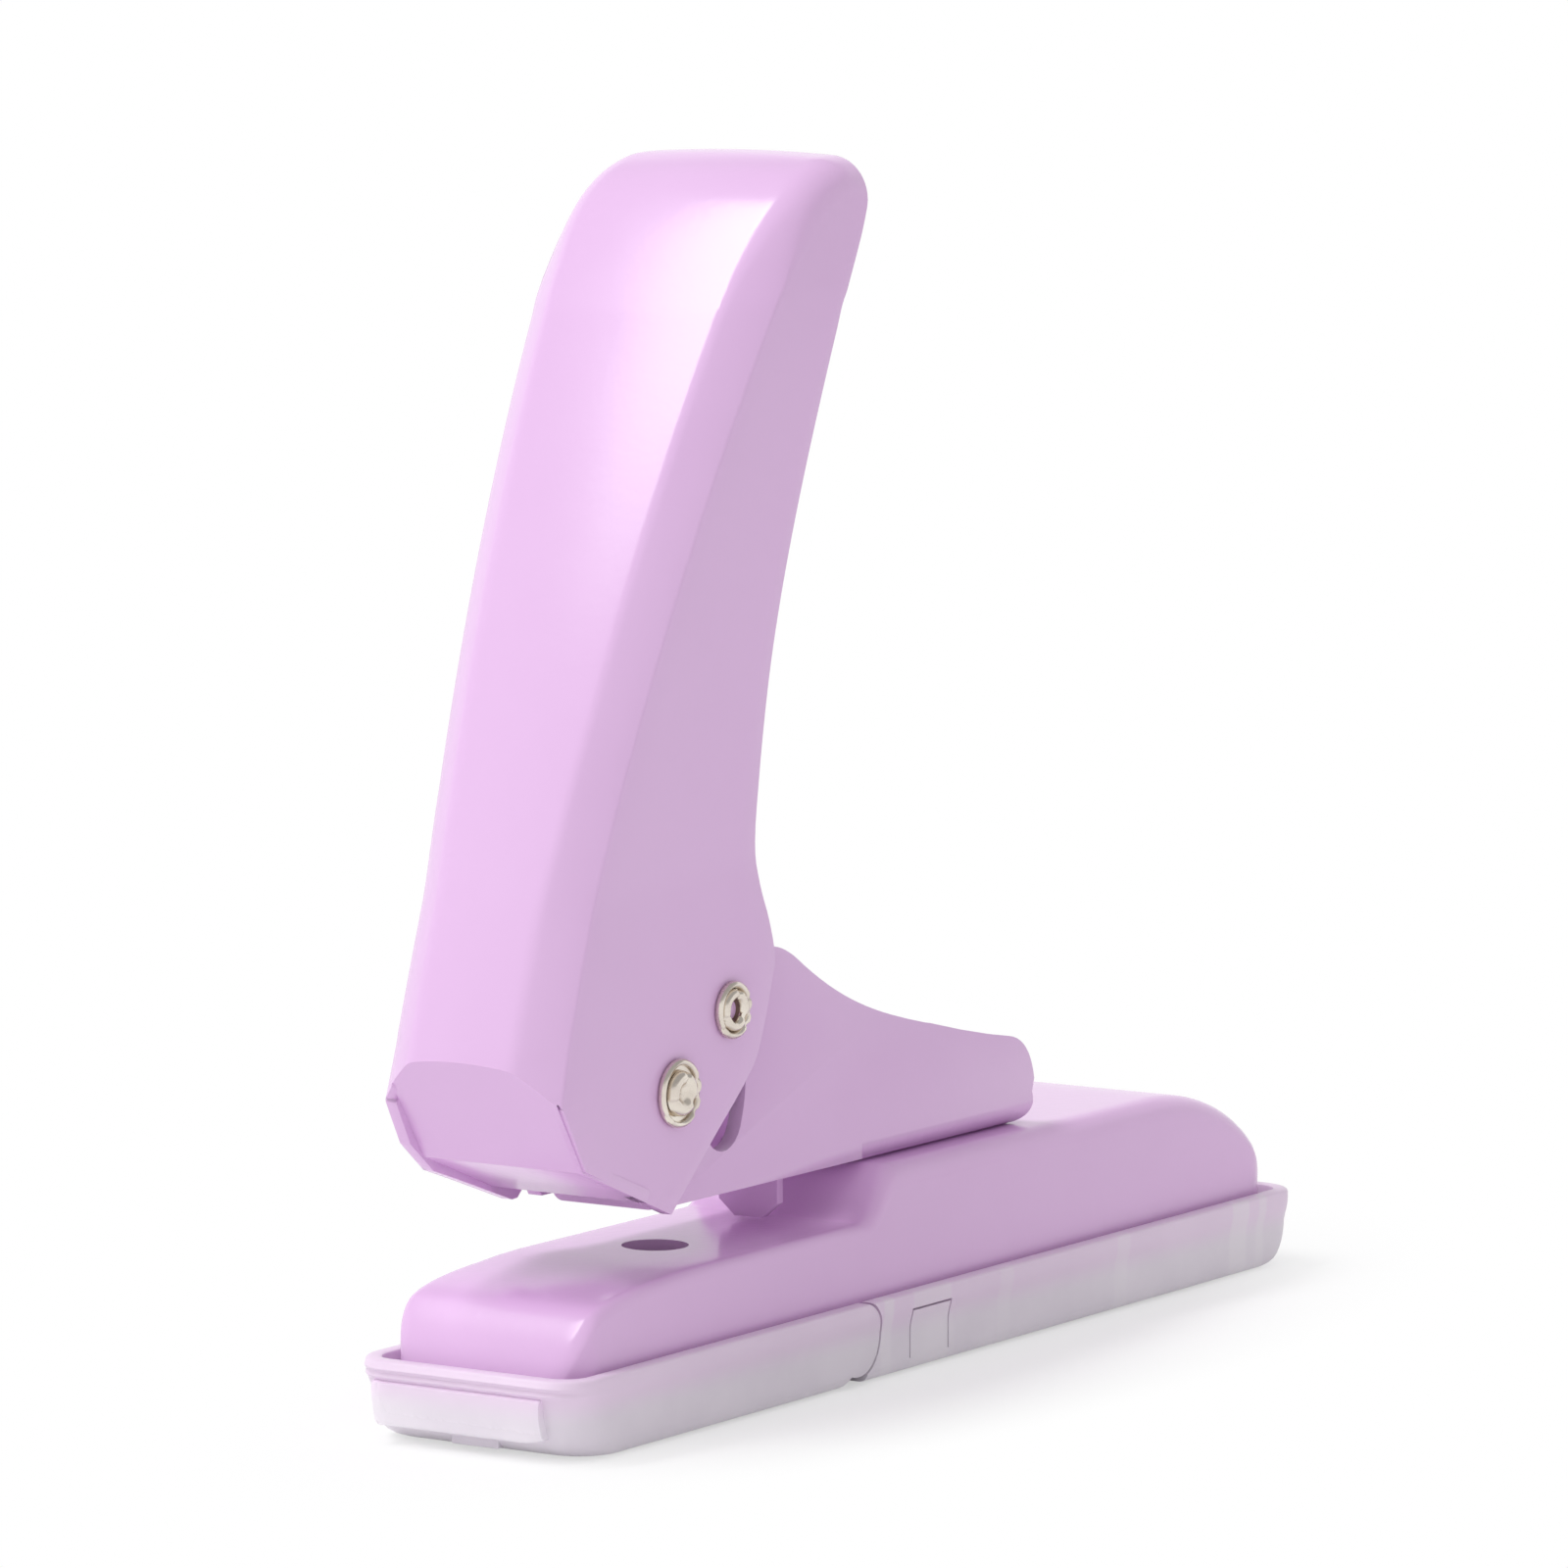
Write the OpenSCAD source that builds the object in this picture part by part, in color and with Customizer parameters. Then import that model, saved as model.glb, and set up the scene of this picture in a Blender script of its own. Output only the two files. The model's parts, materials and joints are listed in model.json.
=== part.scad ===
// Single-hole desk punch in painted steel, millimetres.
// X runs from the paper side (-X) to the rear (+X), Z is up, and the
// origin is the centre of the plastic foot where it meets the table.
// The handle is drawn standing up, at rest.

/* [Base] */
// Length of the pressed steel base at its skirt
base_l = 125.4; // [120:0.2:130]
// Width of the pressed steel base
base_w = 21.2; // [20.6:0.1:21.6]
// Height of the punching table above the desk
table_z = 14.6; // [14:0.1:15.2]
// Height of the raised rear of the base, which carries the bracket
hump_z = 19.5; // [19:0.1:20]
// Height at which the steel skirt ends, inside the plastic foot
skirt_z = 4.4; // [4:0.1:5]
// Sheet thickness of the base and the handle
sheet = 1.2; // [1:0.1:1.3]

/* [Foot and chip bin] */
// Thickness of the plastic walls
tray_wall = 1; // [0.9:0.1:1.2]
// Gap between the skirt and the end walls
tray_gap_l = 1.1; // [0.8:0.1:1.4]
// Gap between the skirt and the side walls
tray_gap_w = 0.5; // [0.4:0.1:0.6]
// Height of the rim above the desk
rim_z = 7.6; // [7:0.1:8.2]
// How far the walls stand in below the rim
rim_step = 0.6; // [0.3:0.1:0.8]
// Distance of the bin hinge ahead of the centre
bin_hinge_x = -17.9; // [-20:0.1:-16]

/* [Handle] */
// Height of the top of the handle at rest
handle_top_z = 116; // [112:0.5:120]
// Half of the handle's width at the rivets
handle_hw = 9.2; // [9:0.1:9.6]
// Half of the handle's width near its top
handle_top_hw = 13.5; // [12.5:0.1:14.5]
// Radius of the long bends between the web and the side plates
bend_r = 4; // [3:0.1:5]

/* [Punch] */
// Diameter of the punched hole
hole_d = 6; // [5.5:0.1:6]
// Distance of the punch axis ahead of the centre
punch_x = -34.1; // [-35:0.1:-33]
// Swing of the handle from rest to fully pressed, degrees
swing = 57; // [50:1:57]

/* [Linkage] */
// Distance between the pivot rivet and the drive rivet
crank_r = 11.1; // [11:0.1:11.2]
// Angle of the drive rivet above the pivot rivet at rest, degrees
crank_a = 36.6; // [35:0.1:37]
// Height of the pivot rivet
pivot_z = 31; // [30.6:0.1:31.4]
// Diameter of the two rivet shanks
shank_d = 4; // [3.8:0.1:4]

/* [Hidden] */
$fn = 48;
eps = 0.01;
lilac = "#E6C2EC";
nickel = "#CFC9BE";
steel = "#B9BBBE";
frost = [0.90, 0.88, 0.93, 0.55];

// Linkage
pivot_x = -44.2;
drive_x = pivot_x + crank_r * cos(crank_a);
drive_z = pivot_z + crank_r * sin(crank_a);
drive_far_x = pivot_x + crank_r;            // where the drive rivet is level with the pivot
drive_drop = crank_r * (sin(crank_a) - sin(crank_a - swing));
run_gap = 0.1;                              // running clearance on a diameter
rivet_gap = 0.02;                           // clearance on a diameter of a pin that is held

// Base
base_corner_r = 4;
table_edge_r = 1.8;
hump_edge_r = 3.5;
rivet_x = [-5, 13];                         // rivets that hold the bracket
rivet_d = 3;
die_l = 15;
die_w = 16;
die_t = 3;

// Bracket
bracket_t = 1.5;
bracket_gap = 0.55;                         // between the bracket and each side of the handle
bracket_hw = handle_hw - sheet - bracket_gap;
bracket_in = bracket_hw - bracket_t;
bracket_bend_r = 2.3;
bracket_nose_r = 8.7;                       // hidden front end, round the pivot
bracket_cut_z = hump_z + 0.6;               // free lower edge of the side plates, over the table
bracket_x1 = 21.3;
web_x0 = -14;                               // the bracket's floor starts here

// Nose of the handle, in side view
crease = [-65.6, 35.6];                     // where the web bends in to the tab
chin = [-59.4, 25.6];
heel = [-45, 19.85];                       // lowest corner
tab_t = sheet;
tab_hw = handle_hw - 0.7;
tab_end = 4.6;                              // the tab stops this short of the heel

// Punch, guide and spring
guide_x0 = -42.3;
guide_x1 = -17.4;
guide_t = 1.2;
guide_z1 = hump_z + guide_t;
flange_h = 5;
stop_t = 1;
stop_hw = 3.3;                              // half width of the paper stop
stop_z = table_z + 0.45;
bush_d = 7;
bush_h = guide_t + 1.5;
tip_z = hump_z + 0.4;
head_d = 9.6;
head_h = 7.4;
head_z0 = drive_z - 3.2;
cross_d = shank_d + 0.5;                    // cross slot in the head, a little over the shank
cross_l = drive_far_x - drive_x + 0.4;
cross_x = (drive_x + drive_far_x) / 2;
cross_z = drive_z + 0.12;
washer_h = 0.4;
spring_wire = 0.55;
spring_mean = 8;
spring_turns = 4;

// Rivet washers and bushes
washer_t = 0.7;
washer_y = handle_hw + 0.05;
pivot_washer_d = 6.4;
drive_washer_d = 5.4;
spacer_d = 7;
drive_bush_d = 6;
slot_w = drive_bush_d + 2 * run_gap;        // arc slot of the drive bushes

// Foot and bin
floor_t = 1.2;
pocket_l = base_l + 2 * tray_gap_l;
pocket_w = base_w + 2 * tray_gap_w;
tray_corner_r = 4;                          // plan corner of the rim
pocket_r = tray_corner_r - rim_step - tray_wall;
wall_l = pocket_l + 2 * tray_wall;          // over the walls
wall_w = pocket_w + 2 * tray_wall;
rim_l = wall_l + 2 * rim_step;              // over the rim
rim_w = wall_w + 2 * rim_step;
lip_h = 1.7;
tray_end_r = 4.2;                           // round lower end of the tray, seen from the side
tray_edge_r = 0.8;
tray_crease = 0.02;                         // share of a lower radius that the flat bottom cuts off
hinge_z = 4.3;
knuckle_r = 3.55;
hinge_gap = 0.3;                            // round the knuckle of the bin
hinge_pin_d = 2.4;
ear_t = 2.3;
ear_y = pocket_w / 2 - ear_t / 2 - 0.3;     // middle of each hinge ear
tongue_x = -5.5;                            // spring tongues that hold the skirt
tongue_hw = 3.3;
tongue_slit = 0.4;
tongue_z = 5.8;
catch_h = 0.8;
catch_hw = 2.2;

// ---------- outlines ----------

function arc(x, z, r, a0, a1, n = 12) =
    [for (i = [0:n]) let (a = a0 + (a1 - a0) * i / n) [x + r * cos(a), z + r * sin(a)]];
function bezier(p, n) =
    [for (i = [0:n]) let (t = i / n, s = 1 - t)
        s * s * s * p[0] + 3 * s * s * t * p[1] + 3 * s * t * t * p[2] + t * t * t * p[3]];

// Extrudes an XZ outline to both sides of the centre plane
module across(width) rotate([90, 0, 0]) linear_extrude(width, center = true) children();

module rounded_rect(l, w, r) {
    for (x = [r - l / 2, l / 2 - r], y = [r - w / 2, w / 2 - r]) translate([x, y]) circle(r);
    square([l - 2 * r, w], center = true);
    square([l, w - 2 * r], center = true);
}

module pin_y(x, z, d, y0, y1) translate([x, y1, z]) rotate([90, 0, 0]) cylinder(h = y1 - y0, d = d);

module slot_y(x, z, l, d, w) {
    for (s = [-1, 1]) pin_y(x + s * l / 2, z, d, -w / 2, w / 2);
    translate([x - l / 2, -w / 2, z - d / 2]) cube([l, w, d]);
}

// ---------- base ----------

// Side view of the base, drawn in by d from its outer faces
function base_side(d) = let (x1 = base_l / 2 - d, zt = table_z - d, zh = hump_z - d) concat(
    [[-x1, skirt_z]],
    bezier([[-x1, 8.4], [0.3 - x1, zt - 3.2], [4.6 - x1, zt - 1.6], [14.2 - x1, zt - 0.3]], 8),
    [[-42, zt]],
    bezier([[d - 19.5, zt], [d - 14.5, zt], [d - 15.5, zh], [d - 9, zh]], 10),
    [for (p = arc(0, 0, 1, 90, 4, 14)) [40.5 + p[0] * (x1 - 40.5), 6.5 + p[1] * (zh - 6.5)]],
    [[x1, skirt_z]]);

// Cross-section with rounded shoulders
module shoulders(top, r, d) {
    hw = base_w / 2 - d;
    translate([-hw, 0]) square([2 * hw, top - d - r]);
    translate([r - hw, 0]) square([2 * (hw - r), top - d]);
    for (s = [-1, 1]) translate([s * (hw - r), top - d - r]) circle(r);
}

module along_x(x0, x1) translate([x0, 0, 0]) rotate([90, 0, 90]) linear_extrude(x1 - x0) children();

module base_block(d) intersection() {
    across(base_w) polygon(base_side(d));
    translate([0, 0, -1]) linear_extrude(hump_z + 2) rounded_rect(base_l - 2 * d, base_w - 2 * d, base_corner_r - d);
    union() {
        along_x(-base_l, base_l) shoulders(table_z, table_edge_r - d, d);
        along_x(-22, base_l) shoulders(hump_z, hump_edge_r - d, d);
    }
}

module base_shell() color(lilac) difference() {
    base_block(0);
    difference() {
        base_block(sheet);
        translate([-base_l, -base_w, -10]) cube([2 * base_l, 2 * base_w, 10]);
    }
    translate([-base_l / 2 + sheet, sheet - base_w / 2, skirt_z - 1])
        cube([base_l - 2 * sheet, base_w - 2 * sheet, 3]);
    translate([punch_x, 0, skirt_z]) cylinder(h = table_z, d = hole_d + 0.3);
    for (x = rivet_x) translate([x, 0, hump_z - 3]) cylinder(h = 4, d = rivet_d);
    // clearance in the skirt for the bin's hinge ears, and the catch windows of the foot
    for (s = [-1, 1]) {
        translate([bin_hinge_x - 3.6, s * base_w / 2 - 2, skirt_z - 1]) cube([12, 4, 4]);
        translate([tongue_x - catch_hw - 0.4, s * base_w / 2 - 2, tongue_z - catch_h - 0.1])
            cube([2 * catch_hw + 0.8, 4, catch_h + 0.8]);
    }
}

module die_plate() color(steel) difference() {
    translate([punch_x - die_l / 2, -die_w / 2, table_z - sheet - die_t]) cube([die_l, die_w, die_t]);
    translate([punch_x, 0, skirt_z]) cylinder(h = table_z, d = hole_d + 0.08);
    // relief below the cutting edge
    translate([punch_x, 0, table_z - sheet - die_t - eps]) cylinder(h = 1.4, d = hole_d + 1.4);
}

// ---------- bracket ----------

function bracket_side() = concat(
    arc(pivot_x, pivot_z, bracket_nose_r, 262, 118, 24),
    [[-36.5, 42.4]],
    bezier([[-28, 42.4], [-24.9, 42.4], [-23.8, 42], [-21.9, 41]], 8),
    bezier([[-21.4, 40.7], [-13.8, 35.8], [-8, 33.9], [1.6, 31.75]], 16),
    bezier([[2, 31.7], [8, 30.2], [13, 29.2], [16.2, 28.7]], 6),
    bezier([[16.5, 28.65], [19.4, 28.2], [20.8, 26.4], [bracket_x1, 23.9]], 10),
    arc(bracket_x1 - 2.4, hump_z + 2.2, 2.2, 25, -80, 10),
    [[bracket_x1 - 2.4, hump_z - 1], [-43, hump_z - 1]]);

// The floor of the channel and its two bends
module channel_section() {
    r = bracket_bend_r;
    r_in = r - bracket_t;
    difference() {
        union() {
            translate([-bracket_hw, hump_z + r]) square([2 * bracket_hw, 30]);
            translate([r - bracket_hw, hump_z]) square([2 * bracket_hw - 2 * r, 5]);
            for (s = [-1, 1]) translate([s * (bracket_hw - r), hump_z + r]) circle(r);
        }
        translate([-bracket_in, hump_z + r]) square([2 * bracket_in, 40]);
        translate([r_in - bracket_in, hump_z + bracket_t]) square([2 * bracket_in - 2 * r_in, 5]);
        for (s = [-1, 1]) translate([s * (bracket_in - r_in), hump_z + r]) circle(r_in);
    }
}

// The side plates alone, where they stand free over the table
module plate_pair_section() for (s = [-1, 1])
    translate([s > 0 ? bracket_in : -bracket_hw, bracket_cut_z]) square([bracket_t, 40]);

// Slot that the drive bushes ride in, concentric with the pivot
function slot_outline(w) = let (a0 = crank_a, a1 = crank_a - swing) concat(
    arc(pivot_x, pivot_z, crank_r + w / 2, a1, a0, 16),
    arc(drive_x, drive_z, w / 2, a0 + 15, a0 + 165, 10),
    arc(pivot_x, pivot_z, crank_r - w / 2, a0, a1, 16),
    arc(pivot_x + crank_r * cos(a1), pivot_z + crank_r * sin(a1), w / 2, a1 + 195, a1 + 345, 10));

module bracket() color(lilac) difference() {
    intersection() {
        across(40) polygon(bracket_side());
        union() {
            along_x(web_x0, 40) channel_section();
            along_x(-70, web_x0 + 4) plate_pair_section();
        }
    }
    pin_y(pivot_x, pivot_z, shank_d + rivet_gap, -20, 20);
    across(40) polygon(slot_outline(slot_w));
    for (x = rivet_x) translate([x, 0, hump_z - 1]) cylinder(h = 4, d = rivet_d);
}

module bracket_rivet(x) color(steel) {
    translate([x, 0, hump_z - sheet - 0.9]) cylinder(h = sheet + bracket_t + 1, d = rivet_d - rivet_gap);
    translate([x, 0, hump_z - sheet - 0.9]) cylinder(h = 0.9, d = 4.6);
    translate([x, 0, hump_z + bracket_t]) intersection() {
        cylinder(h = 1.2, d = 5);
        translate([0, 0, -2.2]) sphere(3.4);
    }
}
module bracket_rivet_front() bracket_rivet(rivet_x[0]);
module bracket_rivet_rear() bracket_rivet(rivet_x[1]);

// ---------- punch and its guide ----------

// Pressed channel between the bracket's sides, with the paper stop at its rear
module guide_plate() color(lilac) difference() {
    union() {
        along_x(guide_x0, guide_x1) intersection() {
            translate([-bracket_in, hump_z]) square([2 * bracket_in, guide_t]);
            union() {
                translate([guide_t - bracket_in, hump_z]) square([2 * (bracket_in - guide_t), guide_t]);
                for (s = [-1, 1]) translate([s * (bracket_in - guide_t), guide_z1]) circle(guide_t);
            }
        }
        // flanges welded inside the bracket, ahead of the spring and behind it
        for (s = [-1, 1], x = [[guide_x0, punch_x - 6.2], [punch_x + 6.2, guide_x1]])
            translate([x[0], s > 0 ? bracket_in - 1 : -bracket_in, guide_z1 - eps])
                cube([x[1] - x[0], 1, flange_h]);
        along_x(guide_x1 - stop_t, guide_x1) polygon([
            [-stop_hw, guide_z1 - eps], [stop_hw, guide_z1 - eps], [stop_hw, stop_z + 1.5],
            [stop_hw - 1.8, stop_z], [1.8 - stop_hw, stop_z], [-stop_hw, stop_z + 1.5]]);
    }
    translate([punch_x, 0, hump_z - 1]) cylinder(h = bush_h, d = bush_d + rivet_gap);
}

module guide_bush() color(steel) difference() {
    translate([punch_x, 0, hump_z]) cylinder(h = bush_h, d = bush_d);
    translate([punch_x, 0, hump_z - 1]) cylinder(h = bush_h + 2, d = hole_d + run_gap);
}

module punch_pin() color(steel) difference() {
    union() {
        translate([punch_x, 0, tip_z]) cylinder(h = head_z0 - tip_z + 1, d = hole_d);
        translate([punch_x, 0, head_z0]) cylinder(h = head_h, d = head_d);
    }
    // lets the drive rivet follow its arc
    slot_y(cross_x, cross_z, cross_l, cross_d, 20);
    // hollow-ground cutting edge: a shallow V across the tip
    translate([punch_x, 0, tip_z]) rotate([90, 0, 0]) linear_extrude(20, center = true)
        polygon([[-hole_d / 2, -eps], [hole_d / 2, -eps], [0, 0.9]]);
}

module spring_washer() color(steel) difference() {
    translate([punch_x, 0, head_z0 - washer_h]) cylinder(h = washer_h, d = head_d - 0.4);
    translate([punch_x, 0, head_z0 - 1]) cylinder(h = 2, d = hole_d + run_gap);
}

// Height of the wire's centre along the coil, with its end turns lying flat
function coil_z(t) = let (z0 = guide_z1 + spring_wire / 2, z1 = head_z0 - washer_h - spring_wire / 2)
    z0 + (z1 - z0) * min(1, max(0, (t - 0.12) / 0.76));

module return_spring() color(steel) {
    steps = 88;
    sides = 8;
    points = [for (i = [0:steps], k = [0:sides - 1])
        let (t = i / steps, a = 360 * spring_turns * t, q = 360 * k / sides,
            r = spring_mean / 2 + spring_wire / 2 * cos(q))
        [punch_x + r * cos(a), r * sin(a), coil_z(t) + spring_wire / 2 * sin(q)]];
    walls = [for (i = [0:steps - 1], k = [0:sides - 1]) let (j = (k + 1) % sides)
        [i * sides + k, i * sides + j, (i + 1) * sides + j, (i + 1) * sides + k]];
    ends = [[for (k = [0:sides - 1]) sides - 1 - k], [for (k = [0:sides - 1]) steps * sides + k]];
    polyhedron(points, concat(walls, ends));
}

// ---------- rivets ----------

// A plain pin with both ends spun over: a raised boss with a dimple in it
module spun_pin(x, z, d, boss_d) {
    y1 = washer_y + washer_t;
    difference() {
        union() {
            pin_y(x, z, d, -y1 - 0.6, y1 + 0.6);
            for (s = [-1, 1]) pin_y(x, z, boss_d, s * (y1 + 0.3) - 0.3, s * (y1 + 0.3) + 0.3);
        }
        for (s = [-1, 1]) translate([x, s * (y1 + 1.9), z]) sphere(1.7);
    }
}

module cup_washer(x, z, d, side) difference() {
    pin_y(x, z, d, side > 0 ? washer_y : -washer_y - washer_t, side > 0 ? washer_y + washer_t : -washer_y);
    pin_y(x, z, shank_d + rivet_gap, -20, 20);
}

module pivot_rivet() color(nickel) spun_pin(pivot_x, pivot_z, shank_d, 4.9);
module drive_rivet() color(nickel) spun_pin(drive_x, drive_z, shank_d, 4.4);
module pivot_washer_left() color(nickel) cup_washer(pivot_x, pivot_z, pivot_washer_d, -1);
module pivot_washer_right() color(nickel) cup_washer(pivot_x, pivot_z, pivot_washer_d, 1);
module drive_washer_left() color(nickel) cup_washer(drive_x, drive_z, drive_washer_d, -1);
module drive_washer_right() color(nickel) cup_washer(drive_x, drive_z, drive_washer_d, 1);

module pivot_spacer() color(steel) difference() {
    pin_y(pivot_x, pivot_z, spacer_d, -bracket_in, bracket_in);
    pin_y(pivot_x, pivot_z, shank_d + rivet_gap, -20, 20);
}

module drive_bush(side) color(steel) difference() {
    y0 = bracket_in - 0.25;
    y1 = handle_hw - sheet;
    pin_y(drive_x, drive_z, drive_bush_d, side > 0 ? y0 : -y1, side > 0 ? y1 : -y0);
    pin_y(drive_x, drive_z, shank_d + rivet_gap, -20, 20);
}
module drive_bush_left() drive_bush(-1);
module drive_bush_right() drive_bush(1);

// ---------- handle ----------

// Front line of the web, run straight on below the crease where the nose cuts it off
function web_line() = concat(
    [crease - [5.3, 17], crease - [2.6, 8.5], crease + [0, 0.4]],
    bezier([[-65.1, 36.9], [-59.6, 55], [-51.4, 78], [-38.1, 101.4]], 12),
    bezier([[-37.3, 102.7], [-34, handle_top_z - 8.4], [-29.4, handle_top_z - 1.9], [-22.6, handle_top_z - 0.3]], 6),
    [[-20.5, handle_top_z - 0.05], [-18.6, handle_top_z]]);
// Free rear edge of the side plates, a point for each point of the web line
function rear_line() = concat(
    [[-26, 18], [-26, 28], [-26.2, 38.6]],
    bezier([[-27.7, 41.6], [-28.3, 47], [-32.5, 49], [-31.3, 59]], 4),
    bezier([[-31.1, 64], [-30.5, 76], [-26.9, 88.5], [-23.4, 100]], 7),
    bezier([[-22.7, 102.2], [-20.9, 106.2], [-19.2, 109.4], [-18.6, 112]], 6),
    [[-18.55, handle_top_z - 2.7], [-18.5, handle_top_z - 1.6]]);

// Outline that trims the lower end: two slopes of the nose, then up the back
function nose_cut() = [crease + 2 * (crease - chin), chin, heel, [-31.3, 32], [-29.5, 35.6], [-28.1, 40.2],
    [-27.6, 42], [0, 42], [0, 0], [-100, 0]];

// Half width of the handle: straight at the rivets, flared above, rounded in at the top
function handle_width(z) = handle_hw
    + (handle_top_hw - handle_hw) * min(1, max(0, (z - 50) / 54))
    - bend_r + sqrt(pow(bend_r, 2) - pow(max(0, z - handle_top_z + bend_r), 2));

// One U-shaped section between a web point w and a rear point q, set in by d
function handle_section(w, q, r, hw, d, n = 6) =
    let (len = norm(q - w), u = (q - w) / len, b = max(r - d, 0.15), e = hw - d)
    [for (k = [0:2 * n + 3])
        let (side = k <= n + 1 ? -1 : 1,
            j = side < 0 ? k : 2 * n + 3 - k,
            a = j == 0 ? 0 : 90 * (j - 1) / n,
            s = j == 0 ? len : d + b - b * sin(a),
            y = j == 0 ? e : e - b + b * cos(a),
            p = w + u * s)
        [p[0], side * y, p[1]]];

module handle_body() {
    web = web_line();
    rear = rear_line();
    n = len(web);
    m = 16;
    radius = [for (i = [0:n - 1]) min(bend_r, norm(rear[i] - web[i]) - 0.3)];
    outer = [for (i = [0:n - 1]) each
        handle_section(web[i], rear[i], radius[i], handle_width((web[i][1] + rear[i][1]) / 2), 0)];
    inner = [for (i = [0:n - 1]) each
        handle_section(web[i], rear[i], radius[i], handle_width((web[i][1] + rear[i][1]) / 2), sheet)];
    o = n * m;
    faces = concat(
        [for (i = [0:n - 2], k = [0:m - 2]) let (a = i * m + k)
            each [[a, a + 1, a + m + 1], [a, a + m + 1, a + m]]],
        [for (i = [0:n - 2], k = [0:m - 2]) let (a = o + i * m + k)
            each [[a, a + m + 1, a + 1], [a, a + m, a + m + 1]]],
        [for (i = [0:n - 2]) let (a = i * m)
            each [[a, a + m, o + a + m], [a, o + a + m, o + a]]],
        [for (i = [0:n - 2]) let (a = i * m + m - 1)
            each [[a, o + a + m, a + m], [a, o + a, o + a + m]]],
        [for (k = [0:m - 2]) each [[k, o + k, o + k + 1], [k, o + k + 1, k + 1]]],
        [for (k = [0:m - 2]) let (a = (n - 1) * m + k)
            each [[a, a + 1, o + a + 1], [a, o + a + 1, o + a]]]);
    polyhedron(concat(outer, inner), faces);
}

// A plate from a to b of the side view, set in from that line, with its far corners rounded by r
module nose_plate(a, b, r) {
    l = norm(b - a);
    translate([a[0], 0, a[1]]) rotate([0, -atan2(b[1] - a[1], b[0] - a[0]), 0])
        translate([0, 0, -tab_t - 0.02]) linear_extrude(tab_t) polygon(concat(
            [[-0.3, -tab_hw], [-0.3, tab_hw]],
            [for (p = arc(0, 0, 1, 90, 0, 8)) [l - r + r * p[0], tab_hw - 0.8 * r + 0.8 * r * p[1]]],
            [for (p = arc(0, 0, 1, 0, -90, 8)) [l - r + r * p[0], 0.8 * r - tab_hw + 0.8 * r * p[1]]]));
}

module handle_shell() color(lilac) difference() {
    union() {
        difference() {
            handle_body();
            across(60) polygon(nose_cut());
        }
        // tab bent in from the web, which closes the nose
        nose_plate(chin, crease, bend_r);
        nose_plate(heel - tab_end * [0.93, -0.36], chin, 0.2);
    }
    pin_y(pivot_x, pivot_z, shank_d + run_gap, -20, 20);
    pin_y(drive_x, drive_z, shank_d + rivet_gap, -20, 20);
}

// ---------- plastic foot and chip bin ----------

// Side of a block of that width with its lower corners rounded. The curve meets the flat bottom in a slight crease.
module round_bottom(width, r, z0) {
    zc = z0 + r - r * tray_crease;
    translate([-width / 2, zc]) square([width, 20]);
    translate([r - width / 2, z0 - 0.5]) square([width - 2 * r, 20]);
    for (s = [-1, 1]) translate([s * (width / 2 - r), zc]) circle(r);
}
// Block l by w with its lower ends and long lower edges rounded
module tray_form(l, w, plan_r, end_r, edge_r, z0) intersection() {
    translate([0, 0, z0]) linear_extrude(20) rounded_rect(l, w, plan_r);
    across(w + 1) round_bottom(l, end_r, z0);
    along_x(-l, l) round_bottom(w, edge_r, z0);
}

module tray_block() {
    intersection() {
        tray_form(wall_l, wall_w, tray_corner_r - rim_step, tray_end_r, tray_edge_r, 0);
        translate([-wall_l, -wall_w, -1]) cube([2 * wall_l, 2 * wall_w, rim_z - 0.5 * lip_h + 1]);
    }
    translate([0, 0, rim_z - lip_h]) linear_extrude(lip_h) rounded_rect(rim_l, rim_w, tray_corner_r);
}
module tray_pocket() tray_form(pocket_l, pocket_w, pocket_r, tray_end_r - tray_wall, 0.3, floor_t);

// Side view of the half that belongs to the bin
module bin_side() {
    translate([bin_hinge_x, hinge_z]) circle(knuckle_r);
    polygon([[-rim_l, -1], [bin_hinge_x - 2.6, -1], [bin_hinge_x - 2.6, 0], [bin_hinge_x - 1.2, 0.95],
        [bin_hinge_x, 2], [bin_hinge_x, 20], [-rim_l, 20]]);
}

module chip_bin() color(frost) {
    difference() {
        intersection() {
            tray_block();
            across(40) bin_side();
        }
        tray_pocket();
        translate([bin_hinge_x - 2.9, -pocket_w / 2, -1]) cube([10, pocket_w, 12]);
    }
    // rear wall that keeps the chips in
    translate([-24, -8.6, floor_t - eps]) cube([1.2, 17.2, 7]);
    for (s = [-1, 1]) pin_y(bin_hinge_x, hinge_z, hinge_pin_d, s > 0 ? 8.6 : -pocket_w / 2 - 0.2,
        s > 0 ? pocket_w / 2 + 0.2 : -8.6);
    // finger grip on the nose
    difference() {
        translate([-rim_l / 2 - 0.5, -8.5, 1.9]) cube([3, 17, 4.6]);
        translate([-rim_l / 2 + 1.2, -10, 0]) cube([5, 20, 10]);
    }
}

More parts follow.
